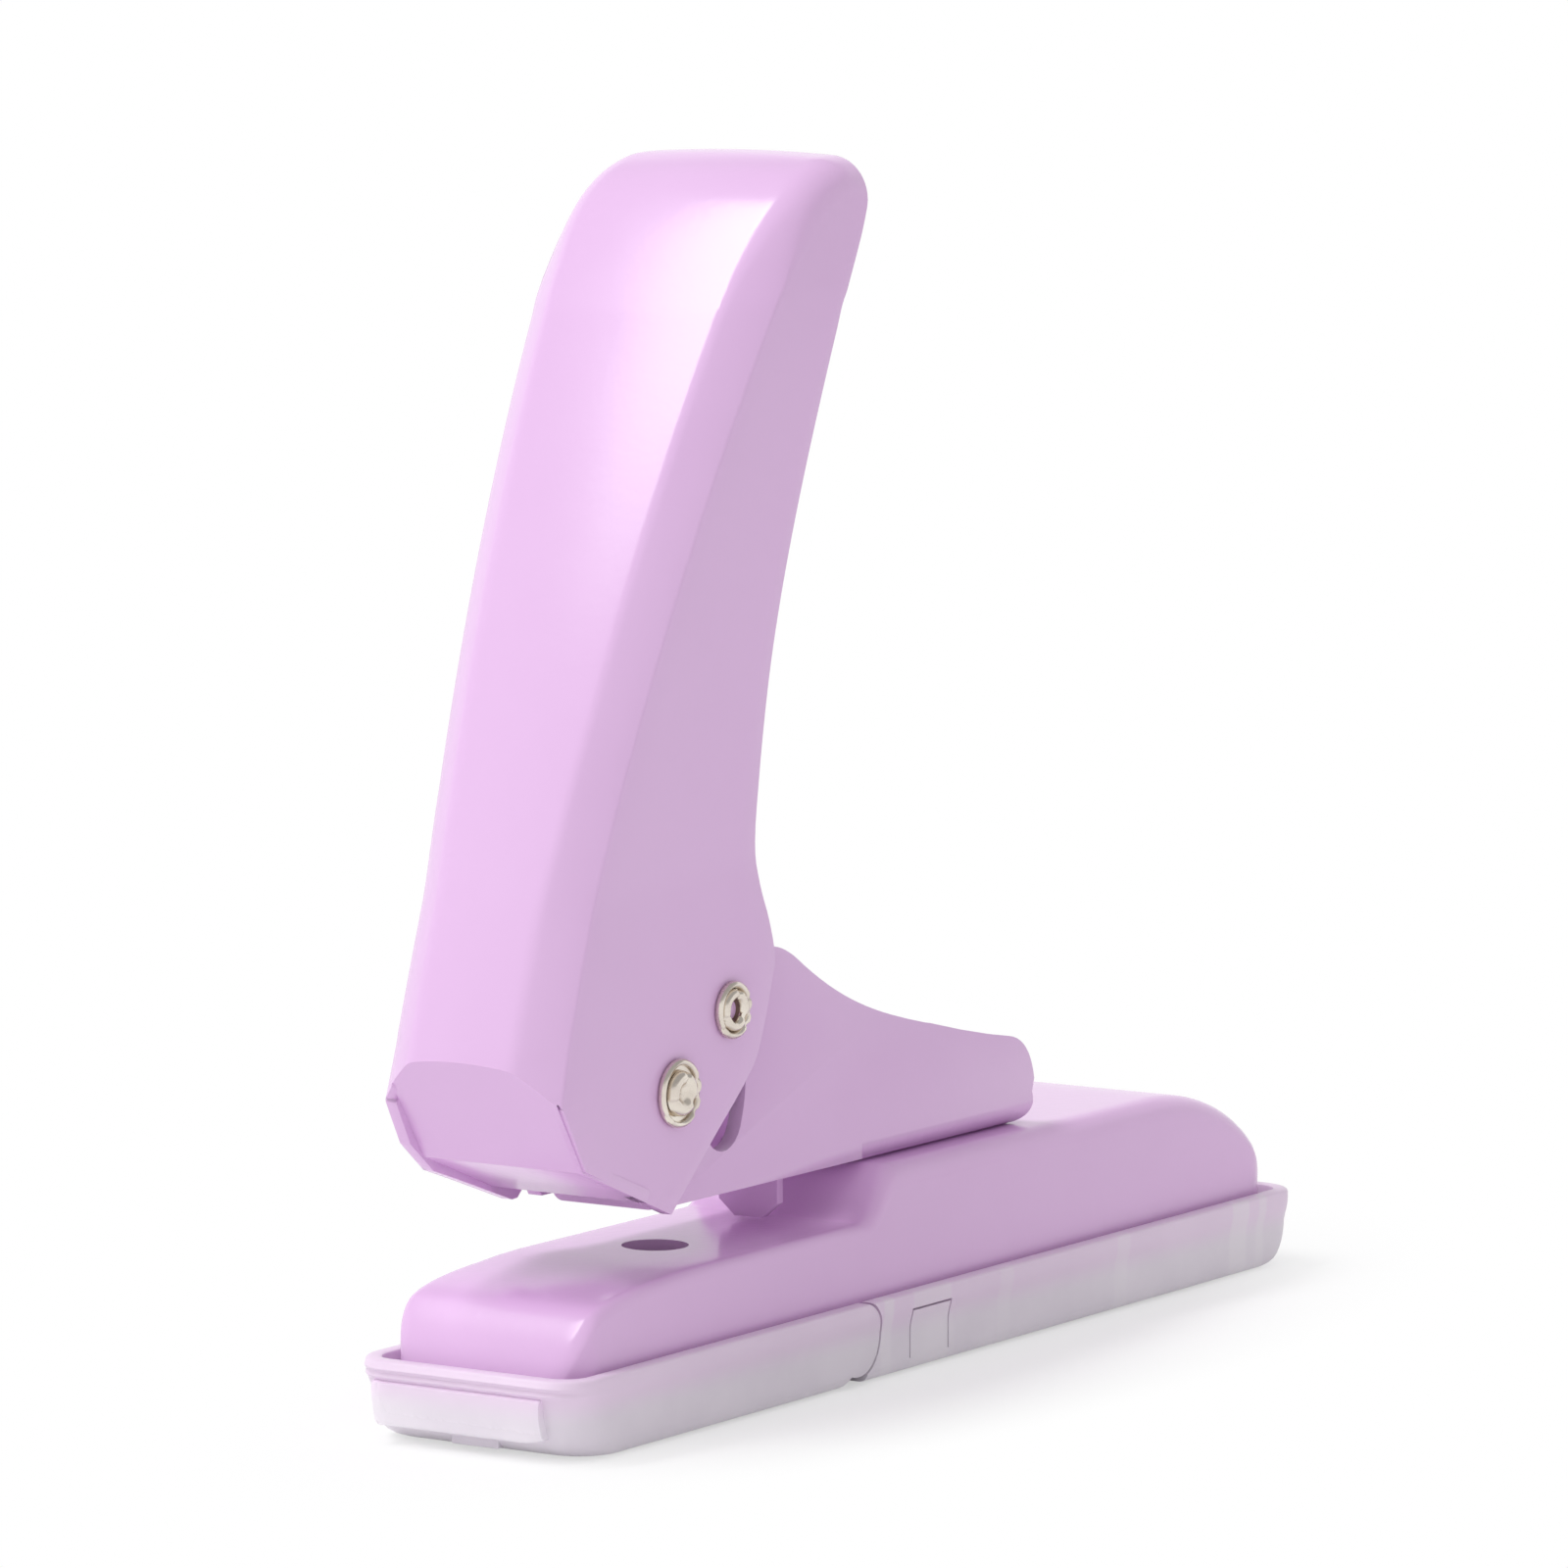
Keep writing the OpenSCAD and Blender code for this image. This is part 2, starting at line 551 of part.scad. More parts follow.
module rear_foot() color(frost) {
    difference() {
        tray_block();
        tray_pocket();
        translate([-rim_l, -rim_w, -1]) cube([rim_l + bin_hinge_x + 1.6, 2 * rim_w, 30]);
        pin_y(bin_hinge_x, hinge_z, 2 * (knuckle_r + hinge_gap), -20, 20);
        // slits and window of the two spring tongues
        for (s = [-1, 1], x = [-tongue_hw - tongue_slit, tongue_hw])
            translate([tongue_x + x, s * pocket_w / 2 - 2, floor_t])
                cube([tongue_slit, 4, tongue_z + tongue_slit - floor_t]);
        for (s = [-1, 1]) translate([tongue_x - tongue_hw - tongue_slit, s * pocket_w / 2 - 2, tongue_z])
            cube([2 * (tongue_hw + tongue_slit), 4, tongue_slit]);
    }
    for (s = [-1, 1]) {
        // catch of the tongue, in the skirt's window
        translate([tongue_x - catch_hw, s > 0 ? base_w / 2 - 0.6 : -pocket_w / 2 - 0.2, tongue_z - catch_h])
            cube([2 * catch_hw, pocket_w / 2 - base_w / 2 + 0.8, catch_h]);
        // hinge ear
        difference() {
            union() {
                pin_y(bin_hinge_x, hinge_z, 5, s * ear_y - ear_t / 2, s * ear_y + ear_t / 2);
                translate([bin_hinge_x, s * ear_y - ear_t / 2, hinge_z - 2.5]) cube([7, ear_t, 5]);
                translate([-12.5, s * ear_y - ear_t / 2, floor_t - eps]) cube([2.4, ear_t, 5]);
            }
            pin_y(bin_hinge_x, hinge_z, hinge_pin_d + run_gap, -20, 20);
        }
        // ribs that carry the skirt
        for (x = [8, 30, 53]) translate([x - 1.15, s > 0 ? 9 : -pocket_w / 2 - 0.2, floor_t - eps])
            cube([2.3, 2.2, skirt_z - floor_t + eps]);
    }
    // posts under the rear of the base
    for (y = [-5.5, 5.5]) translate([53, y, floor_t - eps]) cylinder(h = 6, d = 5.6);
}

base_shell();
die_plate();
bracket();
bracket_rivet_front();
bracket_rivet_rear();
guide_plate();
guide_bush();
punch_pin();
spring_washer();
return_spring();
pivot_rivet();
pivot_washer_left();
pivot_washer_right();
pivot_spacer();
drive_rivet();
drive_washer_left();
drive_washer_right();
drive_bush_left();
drive_bush_right();
handle_shell();
chip_bin();
rear_foot();
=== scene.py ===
import json
from math import sin, cos, pi, radians, sqrt, atan2

import bpy
import bmesh
from mathutils import Vector, Matrix


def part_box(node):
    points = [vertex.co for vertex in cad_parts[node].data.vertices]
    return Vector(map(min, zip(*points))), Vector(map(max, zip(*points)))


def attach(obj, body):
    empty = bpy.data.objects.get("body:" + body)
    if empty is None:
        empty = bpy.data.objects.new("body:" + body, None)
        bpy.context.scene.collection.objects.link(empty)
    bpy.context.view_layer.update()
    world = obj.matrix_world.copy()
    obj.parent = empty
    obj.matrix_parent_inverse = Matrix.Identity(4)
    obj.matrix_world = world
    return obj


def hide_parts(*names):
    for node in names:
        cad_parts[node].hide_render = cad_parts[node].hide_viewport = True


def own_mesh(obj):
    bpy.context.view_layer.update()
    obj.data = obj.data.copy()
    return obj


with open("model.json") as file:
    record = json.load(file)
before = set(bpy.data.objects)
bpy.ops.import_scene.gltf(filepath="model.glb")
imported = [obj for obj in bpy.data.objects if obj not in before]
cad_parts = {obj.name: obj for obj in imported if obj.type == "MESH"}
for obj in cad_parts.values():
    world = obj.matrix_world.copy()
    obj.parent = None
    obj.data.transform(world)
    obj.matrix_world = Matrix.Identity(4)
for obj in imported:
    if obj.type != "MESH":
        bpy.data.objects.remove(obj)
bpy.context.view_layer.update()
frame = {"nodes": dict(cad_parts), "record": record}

mm = 0.001                # a millimetre in metres
hair = 1e-7               # nearer than this counts as touching
mergeGap = 2e-6           # corners this close become one
bodies = frame["record"]["behaviour"]["bodies"]
bodyOf = {node: body for body, nodes in bodies.items() for node in nodes}


# A smooth line through a list of points, with that many steps between two of them
def smoothLine(points, steps):
    line = []
    for i in range(len(points) - 1):
        a, b = Vector(points[i]), Vector(points[i + 1])
        before = Vector(points[i - 1]) if i else 2 * a - b
        after = Vector(points[i + 2]) if i + 2 < len(points) else 2 * b - a
        span = (b - a).length
        outA = (b - before) * (span / max(1e-6, (b - before).length)) if i else b - a
        inB = (after - a) * (span / max(1e-6, (after - a).length)) if i + 2 < len(points) else b - a
        for k in range(steps):
            t = k / steps
            line.append(a * (2 * t ** 3 - 3 * t * t + 1) + outA * (t ** 3 - 2 * t * t + t)
                        + b * (3 * t * t - 2 * t ** 3) + inB * (t ** 3 - t * t))
    line.append(Vector(points[-1]))
    return line


# A curve from a to d that leaves towards b and arrives from c
def bezier(a, b, c, d, steps):
    line = []
    for i in range(steps + 1):
        t = i / steps
        s = 1 - t
        line.append([s ** 3 * p + 3 * s * s * t * q + 3 * s * t * t * r + t ** 3 * u
                     for p, q, r, u in zip(a, b, c, d)])
    return line


def clamped(value):
    return min(1, max(0, value))


# A grid of rows by columns, each of its corners moved to place(row, column)
def gridForm(rows, columns, place):
    bm = bmesh.new()
    bmesh.ops.create_grid(bm, x_segments=columns - 1, y_segments=rows - 1, size=0.5)
    for v in bm.verts:
        column = round((v.co.x + 0.5) * (columns - 1))
        row = round((v.co.y + 0.5) * (rows - 1))
        v.co = place(row, column)
    bmesh.ops.recalc_face_normals(bm, faces=bm.faces)
    return bm


# An object of its own from a bmesh, at the origin
def looseObject(name, bm):
    mesh = bpy.data.meshes.new(name)
    bm.to_mesh(mesh)
    bm.free()
    thing = bpy.data.objects.new(name, mesh)
    bpy.context.scene.collection.objects.link(thing)
    return thing


def shadeSharp(piece, angle):
    piece.data.shade_smooth()
    piece.data.set_sharp_from_angle(angle=radians(angle))


# Turns a bmesh into a piece that rides on its body, and hides the CAD nodes that it takes the place of
def makePiece(name, bm, material, body, stands=(), sharp=35):
    piece = looseObject(name, bm)
    shadeSharp(piece, sharp)
    piece.data.materials.append(material)
    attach(piece, body)
    if stands:
        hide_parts(*stands)
    return piece


# A merged copy of a CAD node's mesh, with flat faces joined up again
def nodeForm(node, flat=1.0):
    bm = bmesh.new()
    bm.from_mesh(frame["nodes"][node].data)
    bmesh.ops.remove_doubles(bm, verts=bm.verts, dist=mergeGap)
    bmesh.ops.dissolve_limit(bm, angle_limit=radians(flat), verts=bm.verts, edges=bm.edges)
    return bm


def bevelEdges(bm, edges, width):
    bmesh.ops.bevel(bm, geom=edges, offset=width * mm, offset_type="OFFSET", affect="EDGES", segments=2,
                    profile=0.5, material=-1, clamp_overlap=True)


def bevelSharp(bm, width, angle=32):
    bevelEdges(bm, [e for e in bm.edges if len(e.link_faces) == 2 and e.calc_face_angle(0) > radians(angle)],
               width)


# A CAD node again with its edges softened
def edgedNode(node, material, width, sharp=35):
    bm = nodeForm(node)
    bevelSharp(bm, width)
    makePiece(node + "_edged", bm, material, bodyOf[node], [node], sharp)


# Makes a piece's modifiers part of its mesh
def bakeModifiers(piece):
    depsgraph = bpy.context.evaluated_depsgraph_get()
    old = piece.data
    piece.data = bpy.data.meshes.new_from_object(piece.evaluated_get(depsgraph))
    piece.modifiers.clear()
    bpy.data.meshes.remove(old)


# Cuts the tool's shape out of a piece, or keeps only what lies in it
def boolean(piece, tool, operation="DIFFERENCE"):
    step = piece.modifiers.new("cut", "BOOLEAN")
    step.object = tool
    step.operation = operation
    step.solver = "EXACT"
    bakeModifiers(piece)
    toolMesh = tool.data
    bpy.data.objects.remove(tool)
    bpy.data.meshes.remove(toolMesh)


# A shader node with its settings, and values for the inputs that nothing feeds
def addNode(tree, kind, inputs=None, **settings):
    node = tree.nodes.new("ShaderNode" + kind)
    for key, value in settings.items():
        setattr(node, key, value)
    for key, value in (inputs or {}).items():
        node.inputs[key].default_value = value
    return node


def newGroup(name, inputs, outputs):
    group = bpy.data.node_groups.new(name, "ShaderNodeTree")
    for title, kind, value in inputs:
        socket = group.interface.new_socket(name=title, in_out="INPUT", socket_type="NodeSocket" + kind)
        socket.default_value = value
    for title, kind in outputs:
        group.interface.new_socket(name=title, in_out="OUTPUT", socket_type="NodeSocket" + kind)
    return group


# Fine rippled skin of sprayed paint or moulded plastic, and a slow drift of tone
def grainGroup():
    group = newGroup("surfaceGrain",
                     [("Grain Size", "Float", 1.0), ("Drift Size", "Float", 20.0),
                      ("Roughness Low", "Float", 0.3), ("Roughness High", "Float", 0.4),
                      ("Colour", "Color", (0.8, 0.8, 0.8, 1)), ("Drift Colour", "Color", (0.8, 0.8, 0.8, 1))],
                     [("Height", "Float"), ("Colour", "Color"), ("Roughness", "Float")])
    link = group.links.new
    entry = group.nodes.new("NodeGroupInput")
    leave = group.nodes.new("NodeGroupOutput")
    place = addNode(group, "TexCoord")
    fine = addNode(group, "TexNoise", {"Detail": 1.5, "Roughness": 0.45})
    slow = addNode(group, "TexNoise", {"Detail": 3.0})
    for noise, size in ((fine, "Grain Size"), (slow, "Drift Size")):
        scale = addNode(group, "Math", {0: 1000.0}, operation="DIVIDE")     # size in mm to scale per metre
        link(entry.outputs[size], scale.inputs[1])
        link(place.outputs["Object"], noise.inputs["Vector"])
        link(scale.outputs[0], noise.inputs["Scale"])
    spread = addNode(group, "MapRange", {"From Min": 0.35, "From Max": 0.65})
    link(slow.outputs["Fac"], spread.inputs["Value"])
    tone = addNode(group, "Mix", data_type="RGBA")
    link(spread.outputs["Result"], tone.inputs["Factor"])
    link(entry.outputs["Colour"], tone.inputs["A"])
    link(entry.outputs["Drift Colour"], tone.inputs["B"])
    rough = addNode(group, "Mix", data_type="FLOAT")
    link(spread.outputs["Result"], rough.inputs["Factor"])
    link(entry.outputs["Roughness Low"], rough.inputs["A"])
    link(entry.outputs["Roughness High"], rough.inputs["B"])
    link(fine.outputs["Fac"], leave.inputs["Height"])
    link(tone.outputs["Result"], leave.inputs["Colour"])
    link(rough.outputs["Result"], leave.inputs["Roughness"])
    return group


surfaceGrain = grainGroup()

# grain and drift are sizes in mm, bump is the skin's depth in mm
finishes = {
    "lilacPaint": {"colour": (0.77, 0.50, 0.80), "drift": (0.785, 0.515, 0.815), "rough": (0.17, 0.2),
                   "grain": 0.9, "driftSize": 22, "bump": 0.012, "sockets": {"Specular IOR Level": 0.42}},
    "nickelPlate": {"colour": (0.80, 0.74, 0.66), "drift": (0.70, 0.63, 0.56), "rough": (0.16, 0.3),
                    "grain": 0.35, "driftSize": 3, "bump": 0.01, "sockets": {"Metallic": 1.0}},
    "brightSteel": {"colour": (0.56, 0.56, 0.57), "drift": (0.47, 0.47, 0.48), "rough": (0.25, 0.4),
                    "grain": 0.3, "driftSize": 4, "bump": 0.006, "sockets": {"Metallic": 1.0}},
    # painted shade: a dark brown finish for the drive rivet's hollow, standing in for its shade and dark
    # reflections
    "paintedHollowShade": {"colour": (0.17, 0.11, 0.09), "drift": (0.25, 0.17, 0.14), "rough": (0.35, 0.5),
                    "grain": 0.3, "driftSize": 2, "bump": 0.02, "sockets": {"Metallic": 0.7}},
    "frostedPlastic": {"colour": (0.93, 0.865, 0.945), "drift": (0.885, 0.82, 0.905), "rough": (0.36, 0.44),
                       "grain": 0.7, "driftSize": 7, "bump": 0.006,
                       "sockets": {"Transmission Weight": 0.15, "IOR": 1.45}},
}


def finish(name, colour, drift, rough, grain, driftSize, bump, sockets):
    material = bpy.data.materials.new(name)
    material.use_nodes = True
    tree = material.node_tree
    shader = tree.nodes["Principled BSDF"]
    skin = addNode(tree, "Group", {"Grain Size": grain, "Drift Size": driftSize, "Roughness Low": rough[0],
                                   "Roughness High": rough[1], "Colour": (*colour, 1),
                                   "Drift Colour": (*drift, 1)}, node_tree=surfaceGrain)
    relief = addNode(tree, "Bump", {"Distance": bump * mm, "Strength": 1.0})
    tree.links.new(skin.outputs["Height"], relief.inputs["Height"])
    tree.links.new(skin.outputs["Colour"], shader.inputs["Base Color"])
    tree.links.new(skin.outputs["Roughness"], shader.inputs["Roughness"])
    tree.links.new(relief.outputs["Normal"], shader.inputs["Normal"])
    for key, value in sockets.items():
        shader.inputs[key].default_value = value
    return material


paint, nickel, steel, hollowShade, frosted = (finish(name, **row) for name, row in finishes.items())

# Painted see-through light on the frosted wall: the lilac of the base behind it, painted in from a height upwards,
# and paler upright bands of painted light where a rib or a catch touches the wall, each with its place, half its
# width and its strength
backing = {
    "height": 4.4, "below": 1.3, "above": 1.5, "share": 0.8, "throughColour": (0.93, 0.74, 0.94),
    "bandThroughColour": (0.97, 0.92, 0.975), "bandIn": 0.25, "bandOut": 0.35,
    "bands": [(-13.2, 0.8, 0.5), (-5.5, 3.3, 0.35), (8.0, 1.15, 0.25), (30.0, 1.15, 0.3), (53.0, 1.6, 0.45),
              (57.4, 0.7, 0.4)],
}


def showThrough(material):
    b = backing
    tree = material.node_tree
    link = tree.links.new
    baseColour = tree.nodes["Principled BSDF"].inputs["Base Color"]
    tone = baseColour.links[0].from_socket
    place = addNode(tree, "TexCoord")
    split = addNode(tree, "SeparateXYZ")
    link(place.outputs["Object"], split.inputs[0])
    above = addNode(tree, "MapRange", {"From Min": (b["height"] - b["below"]) * mm,
                                       "From Max": (b["height"] + b["above"]) * mm, "To Max": b["share"]},
                    interpolation_type="SMOOTHSTEP")
    link(split.outputs["Z"], above.inputs["Value"])
    # painted see-through: the lilac of the base behind the wall mixed into the wall's colour above its height
    seenThrough = addNode(tree, "Mix", data_type="RGBA")
    seenThrough.inputs["B"].default_value = (*b["throughColour"], 1)
    link(above.outputs["Result"], seenThrough.inputs["Factor"])
    link(tone, seenThrough.inputs["A"])
    tone = seenThrough.outputs["Result"]
    for x, half, strength in b["bands"]:
        offset = addNode(tree, "Math", {1: x * mm}, operation="SUBTRACT")
        link(split.outputs["X"], offset.inputs[0])
        apart = addNode(tree, "Math", operation="ABSOLUTE")
        link(offset.outputs[0], apart.inputs[0])
        edge = addNode(tree, "MapRange", {"From Min": (half - b["bandIn"]) * mm,
                                          "From Max": (half + b["bandOut"]) * mm, "To Min": strength,
                                          "To Max": 0.0}, interpolation_type="SMOOTHSTEP")
        link(apart.outputs[0], edge.inputs["Value"])
        # painted light: a paler band where a rib or a catch touches the wall
        paler = addNode(tree, "Mix", data_type="RGBA")
        paler.inputs["B"].default_value = (*b["bandThroughColour"], 1)
        link(edge.outputs["Result"], paler.inputs["Factor"])
        link(tone, paler.inputs["A"])
        tone = paler.outputs["Result"]
    link(tone, baseColour)


showThrough(frosted)
print("finishes ready")

# Places are (x, z) in the side view, in mm. The web runs up from below the crease to the top, and the
# rear is the free edge of the side plates, a station of one for each of the other.
handle = {
    "crease": (-65.6, 35.6), "chin": (-59.4, 25.6), "heel": (-45.0, 19.85),
    "farNose": [(-61.2, 27.0), (-57.9, 24.1)], "farHeel": (-45.0, 19.5),
    "webFoot": [(-70.9, 18.6), (-69.5, 22.9), (-68.2, 27.1), (-66.9, 31.5), (-65.6, 36.0)],
    "webRise": [(-65.34, 36.9), (-59.7, 55), (-51.4, 78), (-38.1, 101.4)],
    "rearFoot": [(-45.0, 19.85), (-38.15, 25.9), (-31.3, 32.0), (-29.5, 35.6), (-28.2, 39.6)],
    "rearWaist": [(-27.7, 41.6), (-28.3, 47), (-32.5, 49), (-31.3, 59)],
    "rearRise": [(-31.1, 64), (-30.5, 76), (-26.9, 88.5), (-23.4, 100)],
    "rearEnd": [(-22.7, 102.2), (-21.2, 105.4), (-19.6, 108.2), (-18.9, 110.4)],
    "sheet": 1.2, "crown": 0.3, "lowHalf": 9.2, "topHalf": 13.5, "topZ": 116.0,
    "flareFrom": 50.0, "flareTo": 104.0, "roundFrom": 103.0,
    "bend": 4.0, "webBend": 2.2, "webBendLow": 3.2, "facetBend": 25.0, "sideBend": 0.6,
    "facetFrom": 37, "facetTo": 46, "lowBendBelow": 62, "lowBendFade": 30,
    "toeHeights": (24, 32, 38, 50, 60), "toeAmounts": (0.8, 0.62, 0.32, 0.22, 0.0), "toeReach": 18.0,
    "tabNear": -9.3, "tabFar": 8.5, "plateSetBack": 0.2, "tabEnd": 4.4, "noseBelow": 50,
    "edge": 0.3, "edgeSteps": 3, "edgeOver": 40,
}


def handleStations():
    h = handle
    top = h["topZ"]
    web = h["webFoot"] + bezier(*h["webRise"], 12)
    web += bezier([-37.3, 102.7], [-34, top - 8.4], [-29.4, top - 1.9], [-22.6, top - 0.3], 6)
    web += [[-20.6, top - 0.05], [-18.7, top]]
    rear = h["rearFoot"] + bezier(*h["rearWaist"], 4) + bezier(*h["rearRise"], 7) + bezier(*h["rearEnd"], 6)
    rear += [[-18.7, top - 5.0], [-18.6, top - 4.4]]
    return smoothLine(web, 4), smoothLine(rear, 4)


# How far the front of each side plate toes out at that height
def toeOut(z):
    heights, amounts = handle["toeHeights"], handle["toeAmounts"]
    if z <= heights[0]:
        return amounts[0]
    for i in range(len(heights) - 1):
        if z <= heights[i + 1]:
            t = (z - heights[i]) / (heights[i + 1] - heights[i])
            return amounts[i] + (amounts[i + 1] - amounts[i]) * t
    return 0


# The folded corner between web and side plate: out from the middle line, and in from the web.
# It is a soft bend, a nearly flat facet and a crisp bend, and a plain round one at the handle's end.
def cornerLine(hw, z, reach):
    h = handle
    scale = reach / h["bend"]
    low = clamped((h["lowBendBelow"] - z) / h["lowBendFade"])
    start = 2 * h["crown"] / (hw - h["bend"] * scale)
    facetFrom, facetTo = radians(h["facetFrom"]), radians(h["facetTo"])
    turns = ((h["webBend"] + (h["webBendLow"] - h["webBend"]) * low, start, facetFrom, 5),
             (h["facetBend"], facetFrom, facetTo, 3), (h["sideBend"], facetTo, pi / 2, 4))
    line = [(0, h["crown"])]
    for r, a, b, steps in turns:
        y, s = line[-1]
        for i in range(steps):
            t = a + (b - a) * (i + 1) / steps
            line.append((y + r * scale * (sin(t) - sin(a)), s + r * scale * (cos(a) - cos(t))))
    line = [(y + hw - line[-1][0], s) for y, s in line]
    plain = []
    flat = hw - reach * (1 - sin(start))
    for i in range(len(line)):
        t = start + (pi / 2 - start) * i / (len(line) - 1)
        plain.append((flat + reach * (sin(t) - sin(start)), h["crown"] + reach * (cos(start) - cos(t))))
    share = clamped((z - h["roundFrom"]) / (h["topZ"] - 3 - h["roundFrom"]))
    share = share * share * (3 - 2 * share)
    return [(p[0] + (q[0] - p[0]) * share, p[1] + (q[1] - p[1]) * share) for p, q in zip(line, plain)]


def handleForm():
    h = handle
    web, rear = handleStations()
    side, turn, face = 10, 12, 12      # divisions of a side plate, a bend and half of the web
    half = side + turn + face

    def place(row, column):
        w, q = web[row], rear[row]
        span = (q - w).length
        along = (q - w) / span
        z = (w.y + q.y) / 2
        r = min(h["bend"], span - 0.3)
        flare = clamped((z - h["flareFrom"]) / (h["flareTo"] - h["flareFrom"]))
        hw = h["lowHalf"] + (h["topHalf"] - h["lowHalf"]) * flare
        toe = toeOut(z)
        corner = cornerLine(hw, w.y, r)
        k = column if column <= half else 2 * half - column
        sign = -1 if column <= half else 1
        if k <= side:
            s = span + (corner[-1][1] - span) * k / side
            y = hw
        elif k <= side + turn:
            y, s = corner[side + turn - k]
        else:
            y = corner[0][0] * (1 - (k - side - turn) / face)
            s = h["crown"] * (y / corner[0][0]) ** 2
        p = w + along * s
        near = clamped((h["toeReach"] - s) / h["toeReach"])
        y += toe * near * near * (3 - 2 * near) * y / hw
        return Vector((p.x, sign * y, p.y)) * mm

    return gridForm(len(web), 2 * half + 1, place)


# A plane across the handle through two points of the side view, and the way that points forwards
def planeThrough(a, b, inset=0.0):
    along = Vector((b[0] - a[0], 0, b[1] - a[1])).normalized()
    outward = Vector((-along.z, 0, along.x))
    if outward.x > 0:
        outward = -outward
    return (Vector((a[0], 0, a[1])) - outward * inset) * mm, outward


# The tab: the web's cut edge drawn down to the chin, then back towards the heel
def drawTab(bm, near, far):
    h = handle
    co, no = planeThrough(h["crease"], h["chin"])
    edges = [e for e in bm.edges if e.is_boundary
             and all(abs((v.co - co).dot(no)) < mergeGap and near - hair < v.co.y < far + hair for v in e.verts)
             and abs(e.verts[0].co.y - e.verts[1].co.y) > hair]
    back = (Vector(h["chin"]) - Vector(h["heel"])).normalized() * h["tabEnd"]
    for stop in (h["chin"], Vector(h["heel"]) + back):
        rise = bmesh.ops.extrude_edge_only(bm, edges=edges)["geom"]
        for v in rise:
            if isinstance(v, bmesh.types.BMVert):
                v.co.x, v.co.z = stop[0] * mm, stop[1] * mm
        edges = [e for e in rise if isinstance(e, bmesh.types.BMEdge)
                 and all(abs(v.co.x - stop[0] * mm) < hair for v in e.verts)]


def buildHandle():
    h = handle
    bm = handleForm()
    near, far = h["tabNear"] * mm, h["tabFar"] * mm
    # part the sheet at the tab's two edges
    for edge in (near, far):
        bmesh.ops.bisect_plane(bm, geom=bm.verts[:] + bm.edges[:] + bm.faces[:], dist=hair,
                               plane_co=(0, edge, 0), plane_no=(0, 1, 0))
    front = [(h["crease"], h["chin"]), (h["chin"], h["heel"])]
    farFront = list(zip([h["crease"]] + h["farNose"], h["farNose"] + [h["farHeel"]]))
    # each part ends at its own front line: the near plate, the tab and the far plate, which stands
    # a little proud
    for low, high, lines, inset in ((-1, near, front, h["plateSetBack"]), (near, far, front, 0),
                                    (far, 1, farFront, 0)):
        for a, b in lines:
            co, no = planeThrough(a, b, inset)
            faces = [f for f in bm.faces if low < f.calc_center_median().y < high]
            edges = list(dict.fromkeys(e for f in faces for e in f.edges))
            verts = list(dict.fromkeys(v for f in faces for v in f.verts))
            bmesh.ops.bisect_plane(bm, geom=verts + edges + faces, dist=hair, plane_co=co, plane_no=no)
            gone = [f for f in bm.faces if low < f.calc_center_median().y < high
                    and (f.calc_center_median() - co).dot(no) > hair
                    and f.calc_center_median().z < h["noseBelow"] * mm]
            bmesh.ops.delete(bm, geom=gone, context="FACES")
    drawTab(bm, near, far)
    bmesh.ops.recalc_face_normals(bm, faces=bm.faces)
    # outward means away from the channel's middle
    probe = max(bm.faces, key=lambda f: f.calc_center_median().y)
    if probe.normal.y < 0:
        bmesh.ops.reverse_faces(bm, faces=bm.faces)
    piece = makePiece("handle_skin", bm, paint, "handle", ["handle_shell"])
    wall = piece.modifiers.new("sheet", "SOLIDIFY")
    wall.thickness = h["sheet"] * mm
    wall.offset = -1
    wall.use_even_offset = True
    wall.use_quality_normals = True
    soft = piece.modifiers.new("edge", "BEVEL")
    soft.width = h["edge"] * mm
    soft.segments = h["edgeSteps"]
    soft.limit_method = "ANGLE"
    soft.angle_limit = radians(h["edgeOver"])
    soft.harden_normals = False


buildHandle()
print("handle done")

base = {
    "length": 125.4, "width": 21.2, "skirt": 4.4, "table": 14.6, "hump": 19.5, "sheet": 1.2,
    "tableEdge": 1.3, "humpEdge": 2.3, "planCorner": 4.0, "hole": 6.3, "punchX": -34.1,
    "rearFrom": 40.5, "rearLow": 6.5, "rearTurn": 86, "holeDepth": 12, "mergeGap": 0.005, "sharp": 35,
}


# Side view of the base's top, from the nose over the table and the hump to the rear
def baseLine():
    b = base
    x1 = b["length"] / 2
    zt, zh = b["table"], b["hump"]
    line = [[-x1, b["skirt"]]]
    line += bezier([0.02 - x1, 5.2], [0.5 - x1, 8.2], [1.9 - x1, 11.4], [3.7 - x1, 12.7], 14)
    line += bezier([4.0 - x1, 12.86], [5.2 - x1, 13.5], [8.5 - x1, zt - 0.55], [14.2 - x1, zt - 0.3], 10)
    line += [[-45.5, zt - 0.1], [-42, zt], [-36, zt], [-30, zt], [-24, zt], [-19, zt]]
    line += bezier([-14.5, zt], [-11.0, zt], [-11.6, zh], [-7.5, zh], 20)
    line += [[x, zh] for x in range(-4, 39, 6)]
    for i in range(25):
        a = radians(90 - b["rearTurn"] * i / 24)
        line.append([b["rearFrom"] + cos(a) * (x1 - b["rearFrom"]), b["rearLow"] + sin(a) * (zh - b["rearLow"])])
    line.append([x1, b["skirt"]])
    return line


